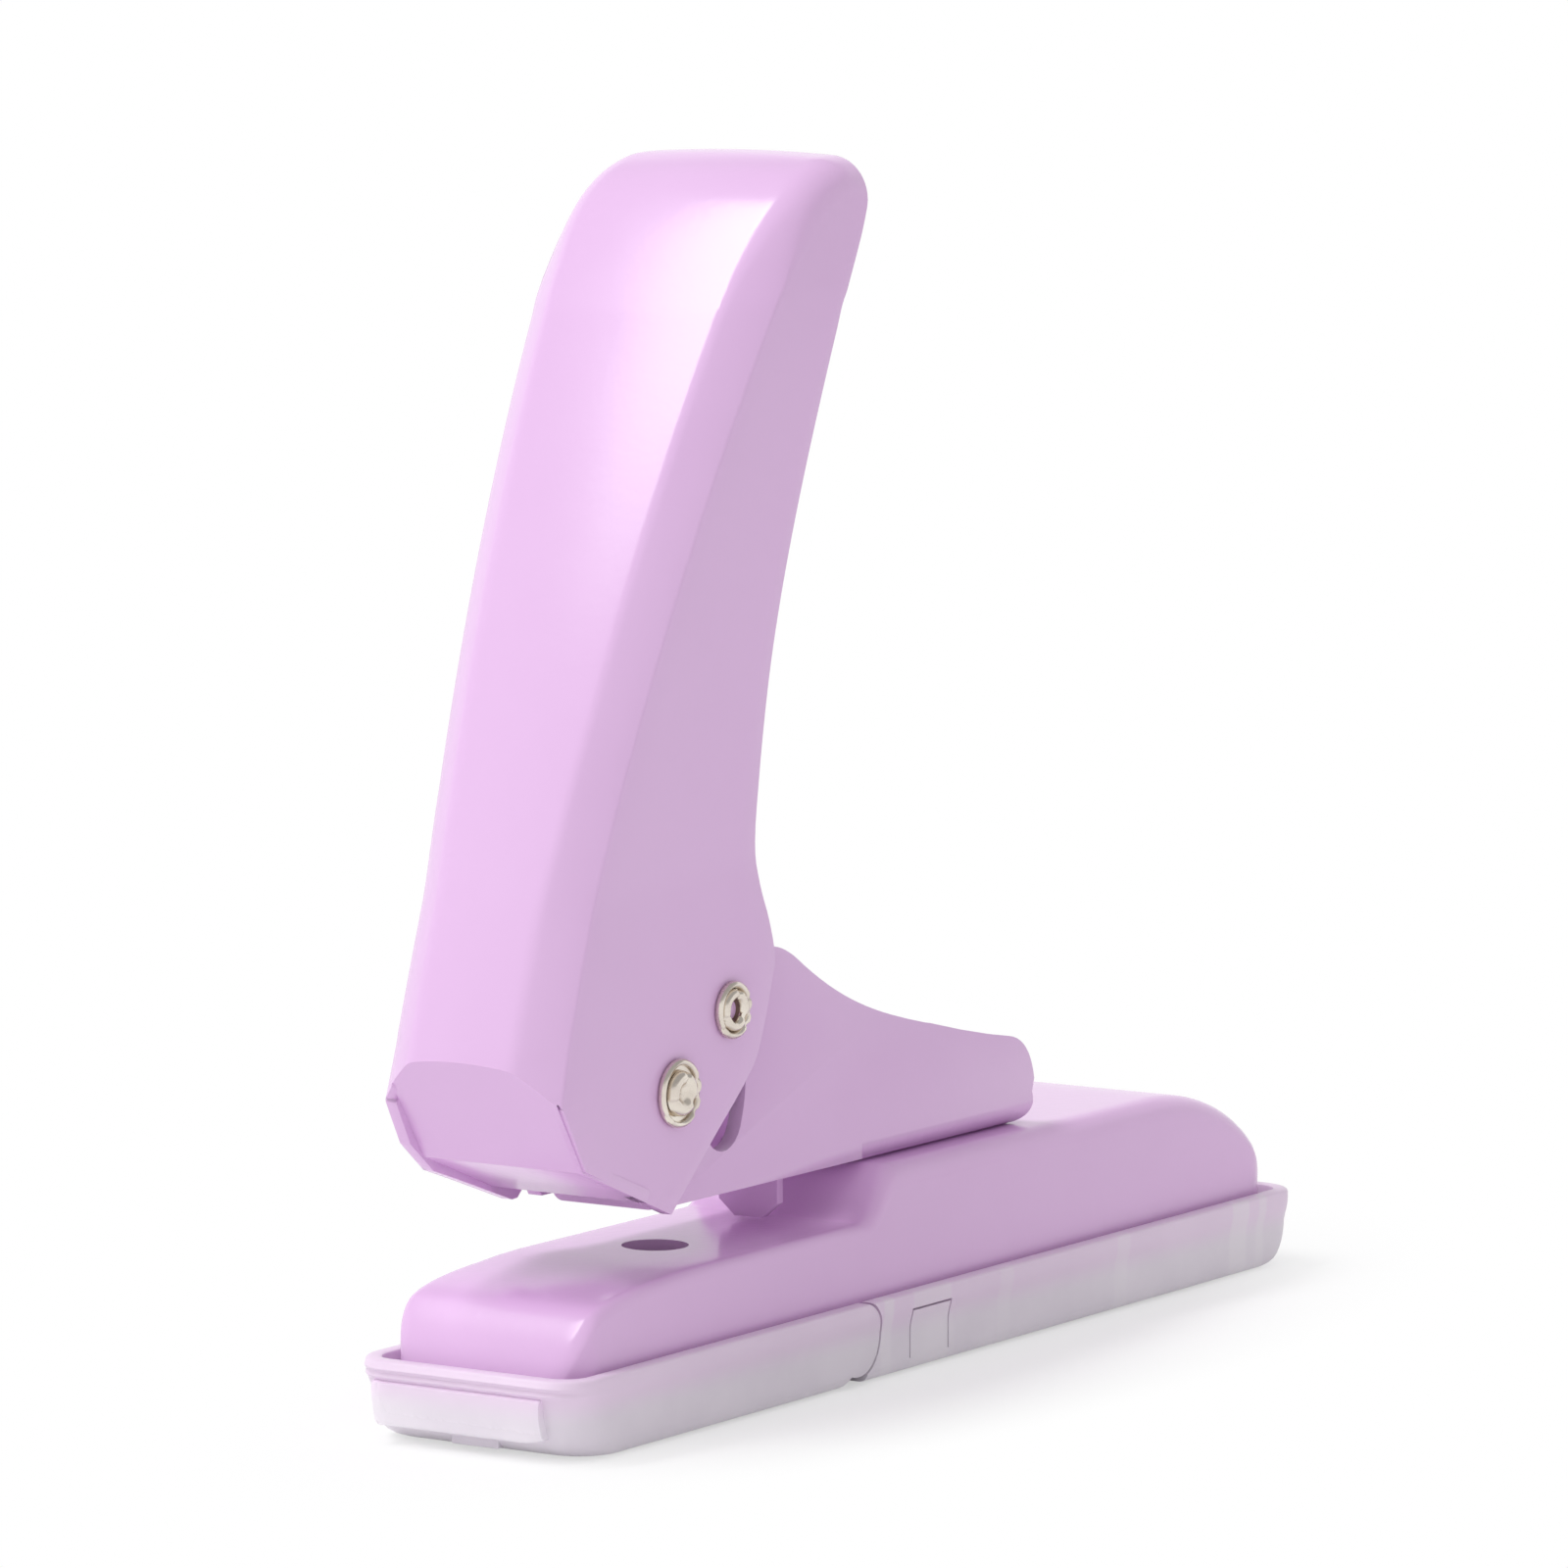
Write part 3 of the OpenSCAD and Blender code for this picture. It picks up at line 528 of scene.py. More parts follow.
def baseForm():
    b = base
    line = baseLine()
    x1 = b["length"] / 2
    zt, zh = b["table"], b["hump"]
    wall, turn, top = 4, 8, 8      # divisions of a side, its bend and half of the top
    half = wall + turn + top

    def place(row, column):
        x, z = line[row]
        over = abs(x) - (x1 - b["planCorner"])
        hw = b["width"] / 2
        if over > 0:
            hw -= b["planCorner"] - sqrt(max(0, b["planCorner"] ** 2 - over ** 2))
        share = clamped((z - zt) / (zh - zt))
        if x > 0:
            share = 1
        r = b["tableEdge"] + (b["humpEdge"] - b["tableEdge"]) * share
        r = min(r, z - b["skirt"]) * 0.999
        k = column if column <= half else 2 * half - column
        sign = -1 if column <= half else 1
        if k <= wall:
            y, h = hw, b["skirt"] + (z - r - b["skirt"]) * k / wall
        elif k <= wall + turn:
            a = pi / 2 * (k - wall) / turn
            y, h = hw - r + r * cos(a), z - r + r * sin(a)
        else:
            y, h = (hw - r) * (1 - (k - wall - turn) / top), z
        return Vector((x, sign * y, h)) * mm

    return gridForm(len(line), 2 * half + 1, place)


def buildBase():
    bm = baseForm()
    bmesh.ops.remove_doubles(bm, verts=bm.verts, dist=base["mergeGap"] * mm)
    lowest = min(v.co.z for v in bm.verts)
    bmesh.ops.recalc_face_normals(bm, faces=bm.faces)
    top = max(bm.faces, key=lambda f: f.calc_center_median().z)
    if top.normal.z < 0:
        bmesh.ops.reverse_faces(bm, faces=bm.faces)
    piece = makePiece("base_skin", bm, paint, "base", ["base_shell"])
    wall = piece.modifiers.new("sheet", "SOLIDIFY")
    wall.thickness = base["sheet"] * mm
    wall.offset = -1
    bakeModifiers(piece)
    # the inner wall's pinched corners end flush with the sheet's edge
    bm = bmesh.new()
    bm.from_mesh(piece.data)
    bmesh.ops.bisect_plane(bm, geom=bm.verts[:] + bm.edges[:] + bm.faces[:], dist=hair,
                           plane_co=(0, 0, lowest - 0.01 * mm), plane_no=(0, 0, -1), clear_outer=True)
    bmesh.ops.holes_fill(bm, edges=[e for e in bm.edges if e.is_boundary], sides=0)
    bm.to_mesh(piece.data)
    bm.free()
    hole = bmesh.new()
    radius = base["hole"] / 2 * mm
    bmesh.ops.create_cone(hole, cap_ends=True, segments=64, radius1=radius, radius2=radius,
                          depth=base["holeDepth"] * mm,
                          matrix=Matrix.Translation(Vector((base["punchX"], 0, base["table"])) * mm))
    boolean(piece, looseObject("holeTool", hole))
    shadeSharp(piece, base["sharp"])


buildBase()
print("base done")

# width of the softened edges, in mm
softEdges = {"bracket": 0.25, "guide_plate": 0.15, "steel": 0.12}

edgedNode("bracket", paint, softEdges["bracket"], sharp=40)
edgedNode("guide_plate", paint, softEdges["guide_plate"])
for name in ("die_plate", "guide_bush", "punch_pin", "spring_washer", "pivot_spacer", "drive_bush_left",
             "drive_bush_right", "bracket_rivet_front", "bracket_rivet_rear"):
    edgedNode(name, steel, softEdges["steel"])
print("bracket and hidden steel done")

# A head is a profile of (radius, height over the side plate). Dents are (angle, half width) in degrees.
rivets = {
    "plate": 9.25, "shank": 1.99, "steps": 56, "sharp": 50, "hollowShadeRadius": 1.02, "hollowShadeFrom": 7,
    "dentFrom": 0.9, "dentDraw": 0.16,
    "headDents": [(205, 16), (330, 20), (75, 12)], "headDentDepth": 0.22, "headDentOver": 0.5,
    "ringDents": [(222, 8), (352, 9), (20, 7), (318, 6)], "ringDentDepth": 0.24, "ringDentOver": 0.45,
    "pivot": {"at": (-44.2, 31.0), "ring": 3.2,
              "head": [(0, 0.55), (0.4, 0.53), (0.8, 0.76), (1.1, 1.12), (1.5, 1.26), (1.85, 1.10),
                       (2.08, 0.74), (2.12, 0.42), (1.99, 0.3)]},
    "drive": {"at": (-35.289, 37.618), "ring": 2.7,
              "head": [(0, -0.75), (0.6, -0.7), (0.92, -0.3), (1.0, 0.35), (1.2, 0.84), (1.5, 1.0),
                       (1.8, 0.88), (1.98, 0.5), (1.99, 0.3)]},
}


# Spins a profile of (radius, place along y) right round the cross axis through a point of the side view
def spunForm(profile, at, closed):
    bm = bmesh.new()
    verts = [bm.verts.new(Vector((at[0] + r, y, at[1])) * mm) for r, y in profile]
    edges = [bm.edges.new((verts[i], verts[i + 1])) for i in range(len(verts) - 1)]
    if closed:
        edges.append(bm.edges.new((verts[-1], verts[0])))
    bmesh.ops.spin(bm, geom=verts + edges, cent=Vector((at[0], 0, at[1])) * mm, axis=(0, 1, 0), angle=2 * pi,
                   steps=rivets["steps"], use_merge=True)
    bmesh.ops.remove_doubles(bm, verts=bm.verts, dist=mergeGap)
    bmesh.ops.recalc_face_normals(bm, faces=bm.faces)
    return bm


# Marks that the riveting tool left: shallow dents in the raised parts
def dentHead(bm, at, dents, lowest, depth):
    for v in bm.verts:
        out = Vector((v.co.x - at[0] * mm, 0, v.co.z - at[1] * mm))
        if out.length < rivets["dentFrom"] * mm or abs(v.co.y) < lowest * mm:
            continue
        turn = atan2(out.z, out.x)
        for angle, width in dents:
            apart = abs((turn - radians(angle) + pi) % (2 * pi) - pi)
            share = max(0, 1 - (apart / radians(width)) ** 2)
            v.co.y -= depth * mm * share * (1 if v.co.y > 0 else -1)
            v.co -= out.normalized() * rivets["dentDraw"] * mm * share


# The rolled washer's section, closed: (radius, height over the side plate)
def ringLine(ring, shank):
    return [(shank + 0.02, 0.05), (ring - 0.2, 0.0), (ring - 0.02, 0.14), (ring, 0.42), (ring - 0.1, 0.68),
            (ring - 0.28, 0.8), (ring - 0.48, 0.72), (ring - 0.6, 0.5), (ring - 0.66, 0.26), (shank + 0.02, 0.2)]


def buildRivets():
    plate, shank = rivets["plate"], rivets["shank"]
    for name in ("pivot", "drive"):
        row = rivets[name]
        at = row["at"]
        left = [(r, -plate - h) for r, h in row["head"]] + [(shank, -plate + 0.2)]
        right = [(r, -y) for r, y in reversed(left)]
        bm = spunForm(left + right, at, False)
        dentHead(bm, at, rivets["headDents"], plate + rivets["headDentOver"], rivets["headDentDepth"])
        node = name + "_rivet"
        pin = makePiece(node + "_spun", bm, nickel, bodyOf[node], [node], rivets["sharp"])
        # the drive rivet's hollow middle takes the dark finish: painted shade and painted dark reflection
        if name == "drive":
            pin.data.materials.append(hollowShade)
            for face in pin.data.polygons:
                out = Vector((face.center.x - at[0] * mm, face.center.z - at[1] * mm)).length
                if out < rivets["hollowShadeRadius"] * mm and abs(face.center.y) > rivets["hollowShadeFrom"] * mm:
                    face.material_index = 1
        for side, sign in (("left", -1), ("right", 1)):
            line = [(r, sign * (plate + h)) for r, h in ringLine(row["ring"], shank)]
            bm = spunForm(line, at, True)
            dentHead(bm, at, rivets["ringDents"], plate + rivets["ringDentOver"], rivets["ringDentDepth"])
            node = name + "_washer_" + side
            makePiece(node + "_rolled", bm, nickel, bodyOf[node], [node], rivets["sharp"])


buildRivets()
print("rivets done")

# The tray is two pieces: the chip bin in front and the foot behind it, hinged at the side walls.
# Lengths are in mm. A lean is how far a wall comes in towards the floor, a round the radius at its foot.
tray = {
    "rim": 7.6, "floor": 1.2, "wall": 1.0, "corner": 4.0,
    "frontLean": 1.1, "frontRound": 3.5, "rearLean": 0.1, "rearRound": 4.0, "leanBelow": 6.9, "leanOver": 4.4,
    "sideLean": 0.42, "sideRound": 0.95, "sideBelow": 6.4, "sideOver": 2.4, "sideIn": 0.08,
    "pocket": (63.8, 11.1), "hinge": (-17.9, 4.3), "knuckle": 3.55, "hingeGap": 0.3, "pin": 2.4,
    "ear": 5, "earThick": 2.3, "earInset": 1.45, "earBack": 7,
    "ridge": 0.28, "ridgeFrom": 5.75, "ridgeTo": 7.3, "ridgeEvery": 0.75, "ridgeStart": 3.6, "ridgeFade": 3.0,
    "gripFrom": -8.6, "gripTo": 10.0, "gripLow": 1.5, "gripProud": 0.4, "gripRise": 2.6, "gripLean": 0.95,
    "gripLeanBelow": 3.8, "gripBlock": ((-63.4, -2.7, 0.35), (-61.0, 2.6, 1.8)),
    "backWall": (-24, -22.8), "backHalf": 8.6, "backHigh": 7,
    "tongue": -5.5, "tongueHalf": 3.3, "slit": 0.22, "slitFrom": 0.7, "tongueTop": 5.8,
    "catch": (9.4, 11.0), "catchHalf": 2.2, "catchHigh": 0.8,
    "guide": (-12.5, -10.1), "guideHigh": 5,
    "ribs": (8.0, 30.0, 53.0), "ribHalf": 1.15, "ribInner": 9.0, "ribTop": 4.4,
    "posts": ((53, -5.5), (53, 5.5)), "postRadius": 2.8, "postHigh": 6,
    "sharp": 38, "edge": 0.14, "edgeOver": 48, "sunk": 0.02, "ahead": 4, "spare": 20,
}
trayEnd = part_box("rear_foot")[1][0] / mm
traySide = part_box("rear_foot")[1][1] / mm


def roundedIn(z, r):
    return r - sqrt(max(0, r * r - (r - z) ** 2)) if z < r else 0


# Outline of the tray at one level: how far out its front, rear and sides are
def trayLevel(z):
    t = tray
    lean = clamped((t["leanBelow"] - z) / t["leanOver"])
    front = trayEnd - t["frontLean"] * lean - roundedIn(z, t["frontRound"])
    rear = trayEnd - t["rearLean"] * lean - roundedIn(z, t["rearRound"])
    ease = clamped((t["sideBelow"] - z) / t["sideOver"])
    side = traySide - t["sideIn"] - t["sideLean"] * ease * ease * (3 - 2 * ease) - roundedIn(z, t["sideRound"])
    return front, rear, side


# Levels of the tray's skin, up the outside, over the rim and down the pocket to its floor:
# (height, front, rear, side, whether it is the pocket)
def trayLevels():
    t = tray
    heights = [0, 0.1, 0.3, 0.6, 1.0, 1.5, 2.1, 2.8, 3.6, 4.4, 5.0, 5.4, 5.75, 5.95, 6.12, 6.3, 6.5, 6.7, 6.88,
               7.05, 7.25]
    levels = [(z, *trayLevel(z), 0) for z in heights]
    front, rear, side = trayLevel(t["rim"])
    levels += [(7.42, front - 0.06, rear - 0.1, side - 0.04, 0), (7.54, front - 0.2, rear - 0.28, side - 0.16, 0),
               (t["rim"], front - 0.42, rear - 0.5, side - 0.38, 0)]
    long, wide = t["pocket"]
    levels += [(t["rim"], long + 0.2, long + 0.2, wide + 0.2, 1), (7.5, long + 0.05, long + 0.05, wide + 0.05, 1)]
    for z in (7.3, 4.4, 3.4, 2.6, 2.0, 1.6, 1.35, t["floor"]):
        end = long - roundedIn(z - t["floor"], 3.0)
        levels.append((z, end, end, wide - roundedIn(z - t["floor"], 0.5), 1))
    return levels


def trayForm():
    t = tray
    levels = trayLevels()
    quarter = 9
    around = 4 * (quarter + 1) + 1

    def place(row, column):
        z, front, rear, side, inner = levels[row]
        r = t["corner"] - inner * (t["wall"] + 0.5)
        column %= around - 1
        corner, k = divmod(column, quarter + 1)
        turn = (corner + k / quarter) * pi / 2
        cx = (rear if corner in (0, 3) else -front) - (r if corner in (0, 3) else -r)
        cy = (side - r) * (1 if corner in (0, 1) else -1)
        x, y = cx + r * cos(turn), cy + r * sin(turn)
        # two thin ridges round the front of the rim, that fade in the corners
        if not inner and t["ridgeFrom"] < z < t["ridgeTo"]:
            ahead = clamped((-x - (front - t["ridgeStart"])) / t["ridgeFade"])
            beat = 0.5 - 0.5 * cos(2 * pi * (z - t["ridgeFrom"]) / t["ridgeEvery"])
            x -= t["ridge"] * ahead * beat
        return Vector((x, y, z)) * mm

    bm = gridForm(len(levels), around, place)
    bmesh.ops.remove_doubles(bm, verts=bm.verts, dist=mergeGap)
    bmesh.ops.holes_fill(bm, edges=[e for e in bm.edges if e.is_boundary], sides=0)
    bmesh.ops.recalc_face_normals(bm, faces=bm.faces)
    return bm


# A flat outline in the side view, pulled across from one y to the other
def acrossForm(outline, y0, y1):
    bm = bmesh.new()
    face = bm.faces.new([bm.verts.new(Vector((x, y0, z)) * mm) for x, z in outline])
    pulled = bmesh.ops.extrude_face_region(bm, geom=[face])["geom"]
    bmesh.ops.translate(bm, vec=(0, (y1 - y0) * mm, 0),
                        verts=[v for v in pulled if isinstance(v, bmesh.types.BMVert)])
    bmesh.ops.recalc_face_normals(bm, faces=bm.faces)
    return bm


def hingeArc(r, fromAngle, toAngle, steps=22):
    x, z = tray["hinge"]
    return [(x + r * cos(radians(fromAngle + (toAngle - fromAngle) * i / steps)),
             z + r * sin(radians(fromAngle + (toAngle - fromAngle) * i / steps))) for i in range(steps + 1)]


# Adds a block with softened edges, from one corner to the opposite one
def addBlock(bm, low, high, soft=0.15):
    new = bmesh.ops.create_cube(bm, size=1)["verts"]
    low, high = Vector(low) * mm, Vector(high) * mm
    for v in new:
        v.co = Vector([(low[i] + high[i]) / 2 + v.co[i] * (high[i] - low[i]) for i in range(3)])
    bevelEdges(bm, list(dict.fromkeys(e for v in new for e in v.link_edges)), soft)


# Adds a round pin across the tray, through a point of the side view
def addPin(bm, at, d, y0, y1):
    place = Matrix.Translation(Vector((at[0], (y0 + y1) / 2, at[1])) * mm) @ Matrix.Rotation(pi / 2, 4, "X")
    bmesh.ops.create_cone(bm, cap_ends=True, segments=32, radius1=d / 2 * mm, radius2=d / 2 * mm,
                          depth=(y1 - y0) * mm, matrix=place)


# The finger grip: a plate on the nose of the bin that overhangs the rounded lower end
def gripForm():
    t = tray
    section = [(2.4, 0.12), (0.5, 0.0), (0.16, 0.05), (0.0, 0.3), (0.0, 0.8), (0.04, 1.6), (0.1, 2.5),
               (0.16, 3.5), (0.3, 4.1), (0.8, 4.3), (2.0, 4.3)]      # (depth behind its face, height)
    columns = 34

    def place(row, column):
        depth, up = section[row]
        y = t["gripFrom"] + (t["gripTo"] - t["gripFrom"]) * clamped((column - 1) / (columns - 3))
        bend = max(0, abs(y) - (traySide - t["corner"]))
        corner = t["corner"] - sqrt(t["corner"] ** 2 - bend ** 2)
        rise = clamped((t["gripFrom"] + t["gripRise"] - y) / t["gripRise"])
        rise = 0.5 * rise * rise
        if column in (0, columns - 1):
            depth = max(depth, 1.6)
        lean = t["gripLean"] * clamped((t["gripLeanBelow"] - up) / t["gripLeanBelow"]) ** 1.6
        z = t["gripLow"] + up + rise * max(0, 1 - up / 2)
        return Vector((-(trayEnd + t["gripProud"] - lean) + depth + corner, y, z)) * mm

    return gridForm(len(section), columns, place)


# The front half of the tray, with a knuckle in each side wall
def buildBin(form):
    t = tray
    x, z = t["hinge"]
    wide = t["pocket"][1]
    far = trayEnd + t["ahead"]
    chipBin = makePiece("chip_bin_skin", form, frosted, bodyOf["chip_bin"], ["chip_bin"], t["sharp"])
    outline = [(-far, -1), (x - 2.6, -1), (x - 2.6, 0), (x - 1.2, 0.95)] + hingeArc(t["knuckle"], -109.7, 90)
    outline += [(x, t["spare"]), (-far, t["spare"])]
    boolean(chipBin, looseObject("binSide", acrossForm(outline, -t["spare"], t["spare"])), "INTERSECT")
    outline = [(x - 2.9, -1), (x + 8, -1), (x + 8, 12), (x - 2.9, 12)]
    boolean(chipBin, looseObject("binBack", acrossForm(outline, -wide, wide)))
    bm = bmesh.new()
    bm.from_mesh(chipBin.data)
    bevelSharp(bm, t["edge"], t["edgeOver"])
    grip = gripForm()
    gripMesh = bpy.data.meshes.new("grip")
    grip.to_mesh(gripMesh)
    grip.free()
    bm.from_mesh(gripMesh)
    bpy.data.meshes.remove(gripMesh)
    addBlock(bm, *t["gripBlock"], 0.2)
    x0, x1 = t["backWall"]
    addBlock(bm, (x0, -t["backHalf"], t["floor"] - t["sunk"]), (x1, t["backHalf"], t["floor"] + t["backHigh"]))
    for side in (-1, 1):
        near, out = sorted((side * t["backHalf"], side * (wide + 0.2)))
        addPin(bm, t["hinge"], t["pin"], near, out)
    bm.to_mesh(chipBin.data)
    bm.free()
    shadeSharp(chipBin, t["sharp"])


# Grooves round the spring tongue in each side wall: one before it, one behind it and one over it
def cutTongues(foot):
    t = tray
    x, half, slit, top = t["tongue"], t["tongueHalf"], t["slit"], t["tongueTop"]
    for side in (-1, 1):
        near, out = sorted((side * (t["pocket"][1] + t["slitFrom"]), side * (traySide + 1)))
        for (x0, z0), (x1, z1) in (((x - half - slit, t["floor"]), (x - half, top + slit)),
                                   ((x + half, t["floor"]), (x + half + slit, top + slit)),
                                   ((x - half - slit / 2, top), (x + half + slit / 2, top + slit))):
            boolean(foot, looseObject("slit", acrossForm([(x0, z0), (x1, z0), (x1, z1), (x0, z1)], near, out)))


# The rear half of the tray, with its spring tongues, hinge ears, ribs and posts
def buildFoot(form):
    t = tray
    x, z = t["hinge"]
    wide = t["pocket"][1]
    under = t["floor"] - t["sunk"]
    far = trayEnd + t["ahead"]
    foot = makePiece("rear_foot_skin", form, frosted, bodyOf["rear_foot"], ["rear_foot"], t["sharp"])
    outline = [(-far, -1), (x + 1.6, -1)] + hingeArc(t["knuckle"] + t["hingeGap"], -65.4, 65.4)
    outline += [(x + 1.6, t["spare"]), (-far, t["spare"])]
    boolean(foot, looseObject("footSide", acrossForm(outline, -t["spare"], t["spare"])))
    cutTongues(foot)
    bm = bmesh.new()
    bm.from_mesh(foot.data)
    tongue, half = t["tongue"], t["catchHalf"]
    for side in (-1, 1):
        lo, hi = sorted(side * y for y in t["catch"])
        addBlock(bm, (tongue - half, lo, t["tongueTop"] - t["catchHigh"]), (tongue + half, hi, t["tongueTop"]), 0.1)
        ear = wide - t["earInset"]
        lo, hi = sorted((side * (ear - t["earThick"] / 2), side * (ear + t["earThick"] / 2)))
        addPin(bm, t["hinge"], t["ear"], lo, hi)
        addBlock(bm, (x, lo, z - t["ear"] / 2), (x + t["earBack"], hi, z + t["ear"] / 2))
        addBlock(bm, (t["guide"][0], lo, under), (t["guide"][1], hi, t["floor"] + t["guideHigh"]))
        lo, hi = sorted((side * t["ribInner"], side * (wide + 0.2)))
        for rib in t["ribs"]:
            addBlock(bm, (rib - t["ribHalf"], lo, under), (rib + t["ribHalf"], hi, t["ribTop"]))
    for at in t["posts"]:
        place = Matrix.Translation(Vector((*at, t["floor"] + t["postHigh"] / 2)) * mm)
        bmesh.ops.create_cone(bm, cap_ends=True, segments=32, radius1=t["postRadius"] * mm,
                              radius2=t["postRadius"] * mm, depth=t["postHigh"] * mm, matrix=place)
    bm.to_mesh(foot.data)
    bm.free()
    shadeSharp(foot, t["sharp"])


trayWhole = trayForm()
buildBin(trayWhole.copy())
buildFoot(trayWhole)
print("tray done")


# The wire coil, a copy of the CAD coil on a mesh of its own. In use the coil is pressed together on the guide as
# the punch comes down.
def buildSpring():
    coil = makePiece("return_spring_coil", nodeForm("return_spring", flat=0.1), steel, bodyOf["return_spring"],
                     ["return_spring"], 50)
    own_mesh(coil)


buildSpring()
print("spring done")

# Sizes and distances in metres. The fades are shares of the key lamp's length and width.
studio = {
    "worldLight": 0.59, "skyGloss": 0.45, "skyFrom": 0.46, "skyTo": 0.60,
    "keyRadiance": 13.5, "keySize": (0.30, 1.28), "keyDirection": (-0.380, 0.465, 0.800),
    "keyAlong": (0.903, 0, 0.430), "keyEndFade": (0.0, 0.25), "keySideFade": (-1.0, 1.0),
    "fillRadiance": 0.45, "fillSize": (1.6, 1.4), "fillDirection": (-0.66, 0.05, 0.75), "fillAlong": (0, 0, 1),
    "lampDistance": 1.4, "lampTarget": (-0.035, 0, 0.095),
    "floorColour": (0.92, 0.92, 0.925), "floorSize": 2.0, "floorDrop": 0.0002,
    "shadowShape": (0.62, 1.6, 0), "shadowFrom": 0.03, "shadowTo": 0.062, "shadowGlow": 0.5,
}


# Fades a lamp out towards one end and one side
def fadeLamp(lamp):
    lamp.use_nodes = True
    tree = lamp.node_tree
    spot = addNode(tree, "NewGeometry")
    split = addNode(tree, "SeparateXYZ")
    tree.links.new(spot.outputs["Parametric"], split.inputs[0])
    both = addNode(tree, "Math", operation="MULTIPLY")
    for i, (axis, fade) in enumerate((("Y", studio["keyEndFade"]), ("X", studio["keySideFade"]))):
        ramp = addNode(tree, "MapRange", {"From Min": fade[0], "From Max": fade[1]})
        tree.links.new(split.outputs[axis], ramp.inputs["Value"])
        tree.links.new(ramp.outputs["Result"], both.inputs[i])
    tree.links.new(both.outputs[0], tree.nodes["Emission"].inputs["Strength"])


# A soft box aimed at the object, with the second of its two sides along the axis given for it
def aimedLamp(name, glossy=True, faded=False):
    toward = Vector(studio[name + "Direction"]).normalized()
    up = Vector(studio[name + "Along"])
    up = (up - toward * up.dot(toward)).normalized()
    size = studio[name + "Size"]
    lamp = bpy.data.lights.new(name, "AREA")
    lamp.shape = "RECTANGLE"
    lamp.size, lamp.size_y = size
    lamp.energy = studio[name + "Radiance"] * pi * size[0] * size[1]
    holder = bpy.data.objects.new(name, lamp)
    place = Vector(studio["lampTarget"]) + toward * studio["lampDistance"]
    turned = Matrix((up.cross(toward), up, toward)).transposed().to_4x4()
    holder.matrix_world = Matrix.Translation(place) @ turned
    holder.visible_glossy = glossy
    bpy.context.scene.collection.objects.link(holder)
    if faded:
        fadeLamp(lamp)


# Even light from all round. Seen directly it is white, and in glossy surfaces it dims towards the top.
def buildWorld():
    world = bpy.data.worlds.new("studio")
    bpy.context.scene.world = world
    world.use_nodes = True
    tree = world.node_tree
    air = tree.nodes["Background"]
    air.inputs["Color"].default_value = (1, 1, 1, 1)
    ray = addNode(tree, "LightPath")
    way = addNode(tree, "TexCoord")
    split = addNode(tree, "SeparateXYZ")
    sky = addNode(tree, "MapRange", {"From Min": studio["skyFrom"], "From Max": studio["skyTo"], "To Min": 1.0,
                                     "To Max": studio["skyGloss"]}, interpolation_type="SMOOTHSTEP")
    seen = addNode(tree, "Math", operation="MAXIMUM")
    shine = addNode(tree, "Mix", data_type="FLOAT")
    shine.inputs["A"].default_value = studio["worldLight"]
    level = addNode(tree, "Mix", data_type="FLOAT")
    level.inputs["B"].default_value = 1.0
    tree.links.new(way.outputs["Generated"], split.inputs[0])
    tree.links.new(split.outputs["Z"], sky.inputs["Value"])
    tree.links.new(ray.outputs["Is Camera Ray"], seen.inputs[0])
    tree.links.new(ray.outputs["Is Transmission Ray"], seen.inputs[1])
    tree.links.new(ray.outputs["Is Glossy Ray"], shine.inputs["Factor"])
    tree.links.new(sky.outputs["Result"], shine.inputs["B"])
    tree.links.new(seen.outputs[0], level.inputs["Factor"])
    tree.links.new(shine.outputs["Result"], level.inputs["A"])
    tree.links.new(level.outputs["Result"], air.inputs["Strength"])


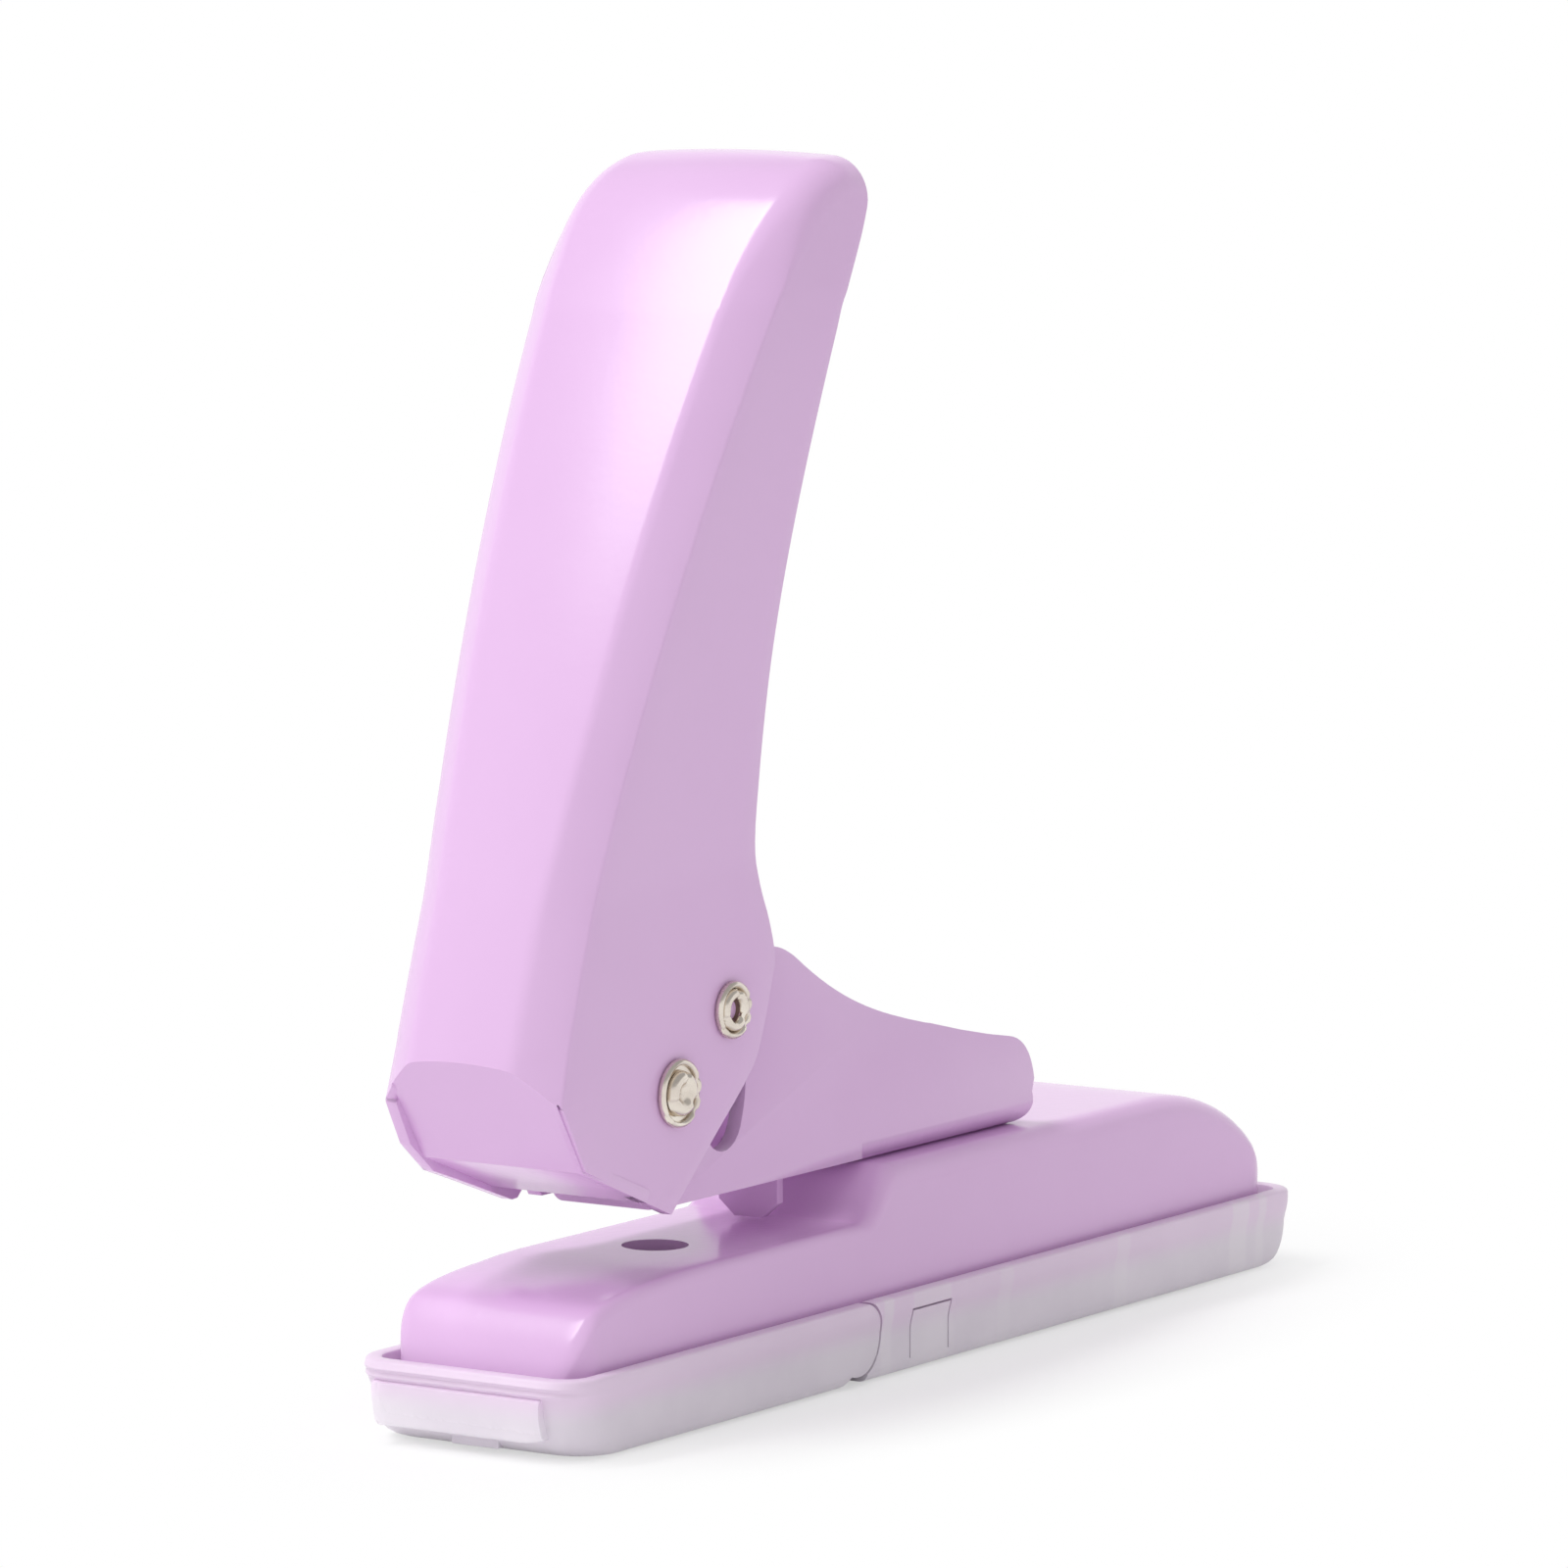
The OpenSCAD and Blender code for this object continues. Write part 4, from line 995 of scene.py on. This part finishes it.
# Paper that shows white away from the object and keeps its shadow near it
def floorPaper():
    material = bpy.data.materials.new("floorPaper")
    material.use_nodes = True
    tree = material.node_tree
    shader = tree.nodes["Principled BSDF"]
    shader.inputs["Base Color"].default_value = (*studio["floorColour"], 1)
    shader.inputs["Roughness"].default_value = 0.9
    shader.inputs["Specular IOR Level"].default_value = 0.0
    glow = addNode(tree, "Emission")
    place = addNode(tree, "TexCoord")
    flat = addNode(tree, "VectorMath", {1: studio["shadowShape"]}, operation="MULTIPLY")
    length = addNode(tree, "VectorMath", operation="LENGTH")
    fade = addNode(tree, "MapRange", {"From Min": studio["shadowFrom"], "From Max": studio["shadowTo"],
                                      "To Min": studio["shadowGlow"]}, interpolation_type="SMOOTHSTEP")
    ray = addNode(tree, "LightPath")
    direct = addNode(tree, "Math", operation="MAXIMUM")
    seen = addNode(tree, "Math", operation="MAXIMUM")
    share = addNode(tree, "Math", operation="MULTIPLY")
    mix = addNode(tree, "MixShader")
    tree.links.new(place.outputs["Object"], flat.inputs[0])
    tree.links.new(flat.outputs["Vector"], length.inputs[0])
    tree.links.new(length.outputs["Value"], fade.inputs["Value"])
    tree.links.new(ray.outputs["Is Camera Ray"], direct.inputs[0])
    tree.links.new(ray.outputs["Is Glossy Ray"], direct.inputs[1])
    tree.links.new(direct.outputs[0], seen.inputs[0])
    tree.links.new(ray.outputs["Is Transmission Ray"], seen.inputs[1])
    tree.links.new(seen.outputs[0], share.inputs[0])
    tree.links.new(fade.outputs["Result"], share.inputs[1])
    tree.links.new(share.outputs[0], mix.inputs["Fac"])
    tree.links.new(shader.outputs[0], mix.inputs[1])
    tree.links.new(glow.outputs[0], mix.inputs[2])
    tree.links.new(mix.outputs[0], tree.nodes["Material Output"].inputs["Surface"])
    return material


def buildFloor():
    bm = bmesh.new()
    bmesh.ops.create_grid(bm, x_segments=8, y_segments=8, size=studio["floorSize"])
    floor = looseObject("floor", bm)
    floor.location.z = -studio["floorDrop"]
    floor.data.materials.append(floorPaper())


buildWorld()
buildFloor()
aimedLamp("key", faded=True)
aimedLamp("fill", glossy=False)

# angles in degrees, places in metres, focal length and sensor in mm
lens = {"azimuth": -56.8, "elevation": 6.68, "distance": 0.8, "target": (-0.01214, 0, 0.05571),
        "focal": 193.7, "sensor": 36, "clip": (0.01, 20)}


def buildCamera():
    camera = bpy.data.objects.new("camera", bpy.data.cameras.new("camera"))
    bpy.context.scene.collection.objects.link(camera)
    azimuth, elevation = radians(lens["azimuth"]), radians(lens["elevation"])
    back = Vector((sin(azimuth) * cos(elevation), -cos(azimuth) * cos(elevation), sin(elevation)))
    camera.location = Vector(lens["target"]) + back * lens["distance"]
    camera.rotation_euler = back.to_track_quat("Z", "Y").to_euler()
    camera.data.sensor_width = lens["sensor"]
    camera.data.lens = lens["focal"]
    camera.data.clip_start, camera.data.clip_end = lens["clip"]
    bpy.context.scene.camera = camera


buildCamera()
bpy.context.scene.view_settings.view_transform = "Standard"
print("studio ready")
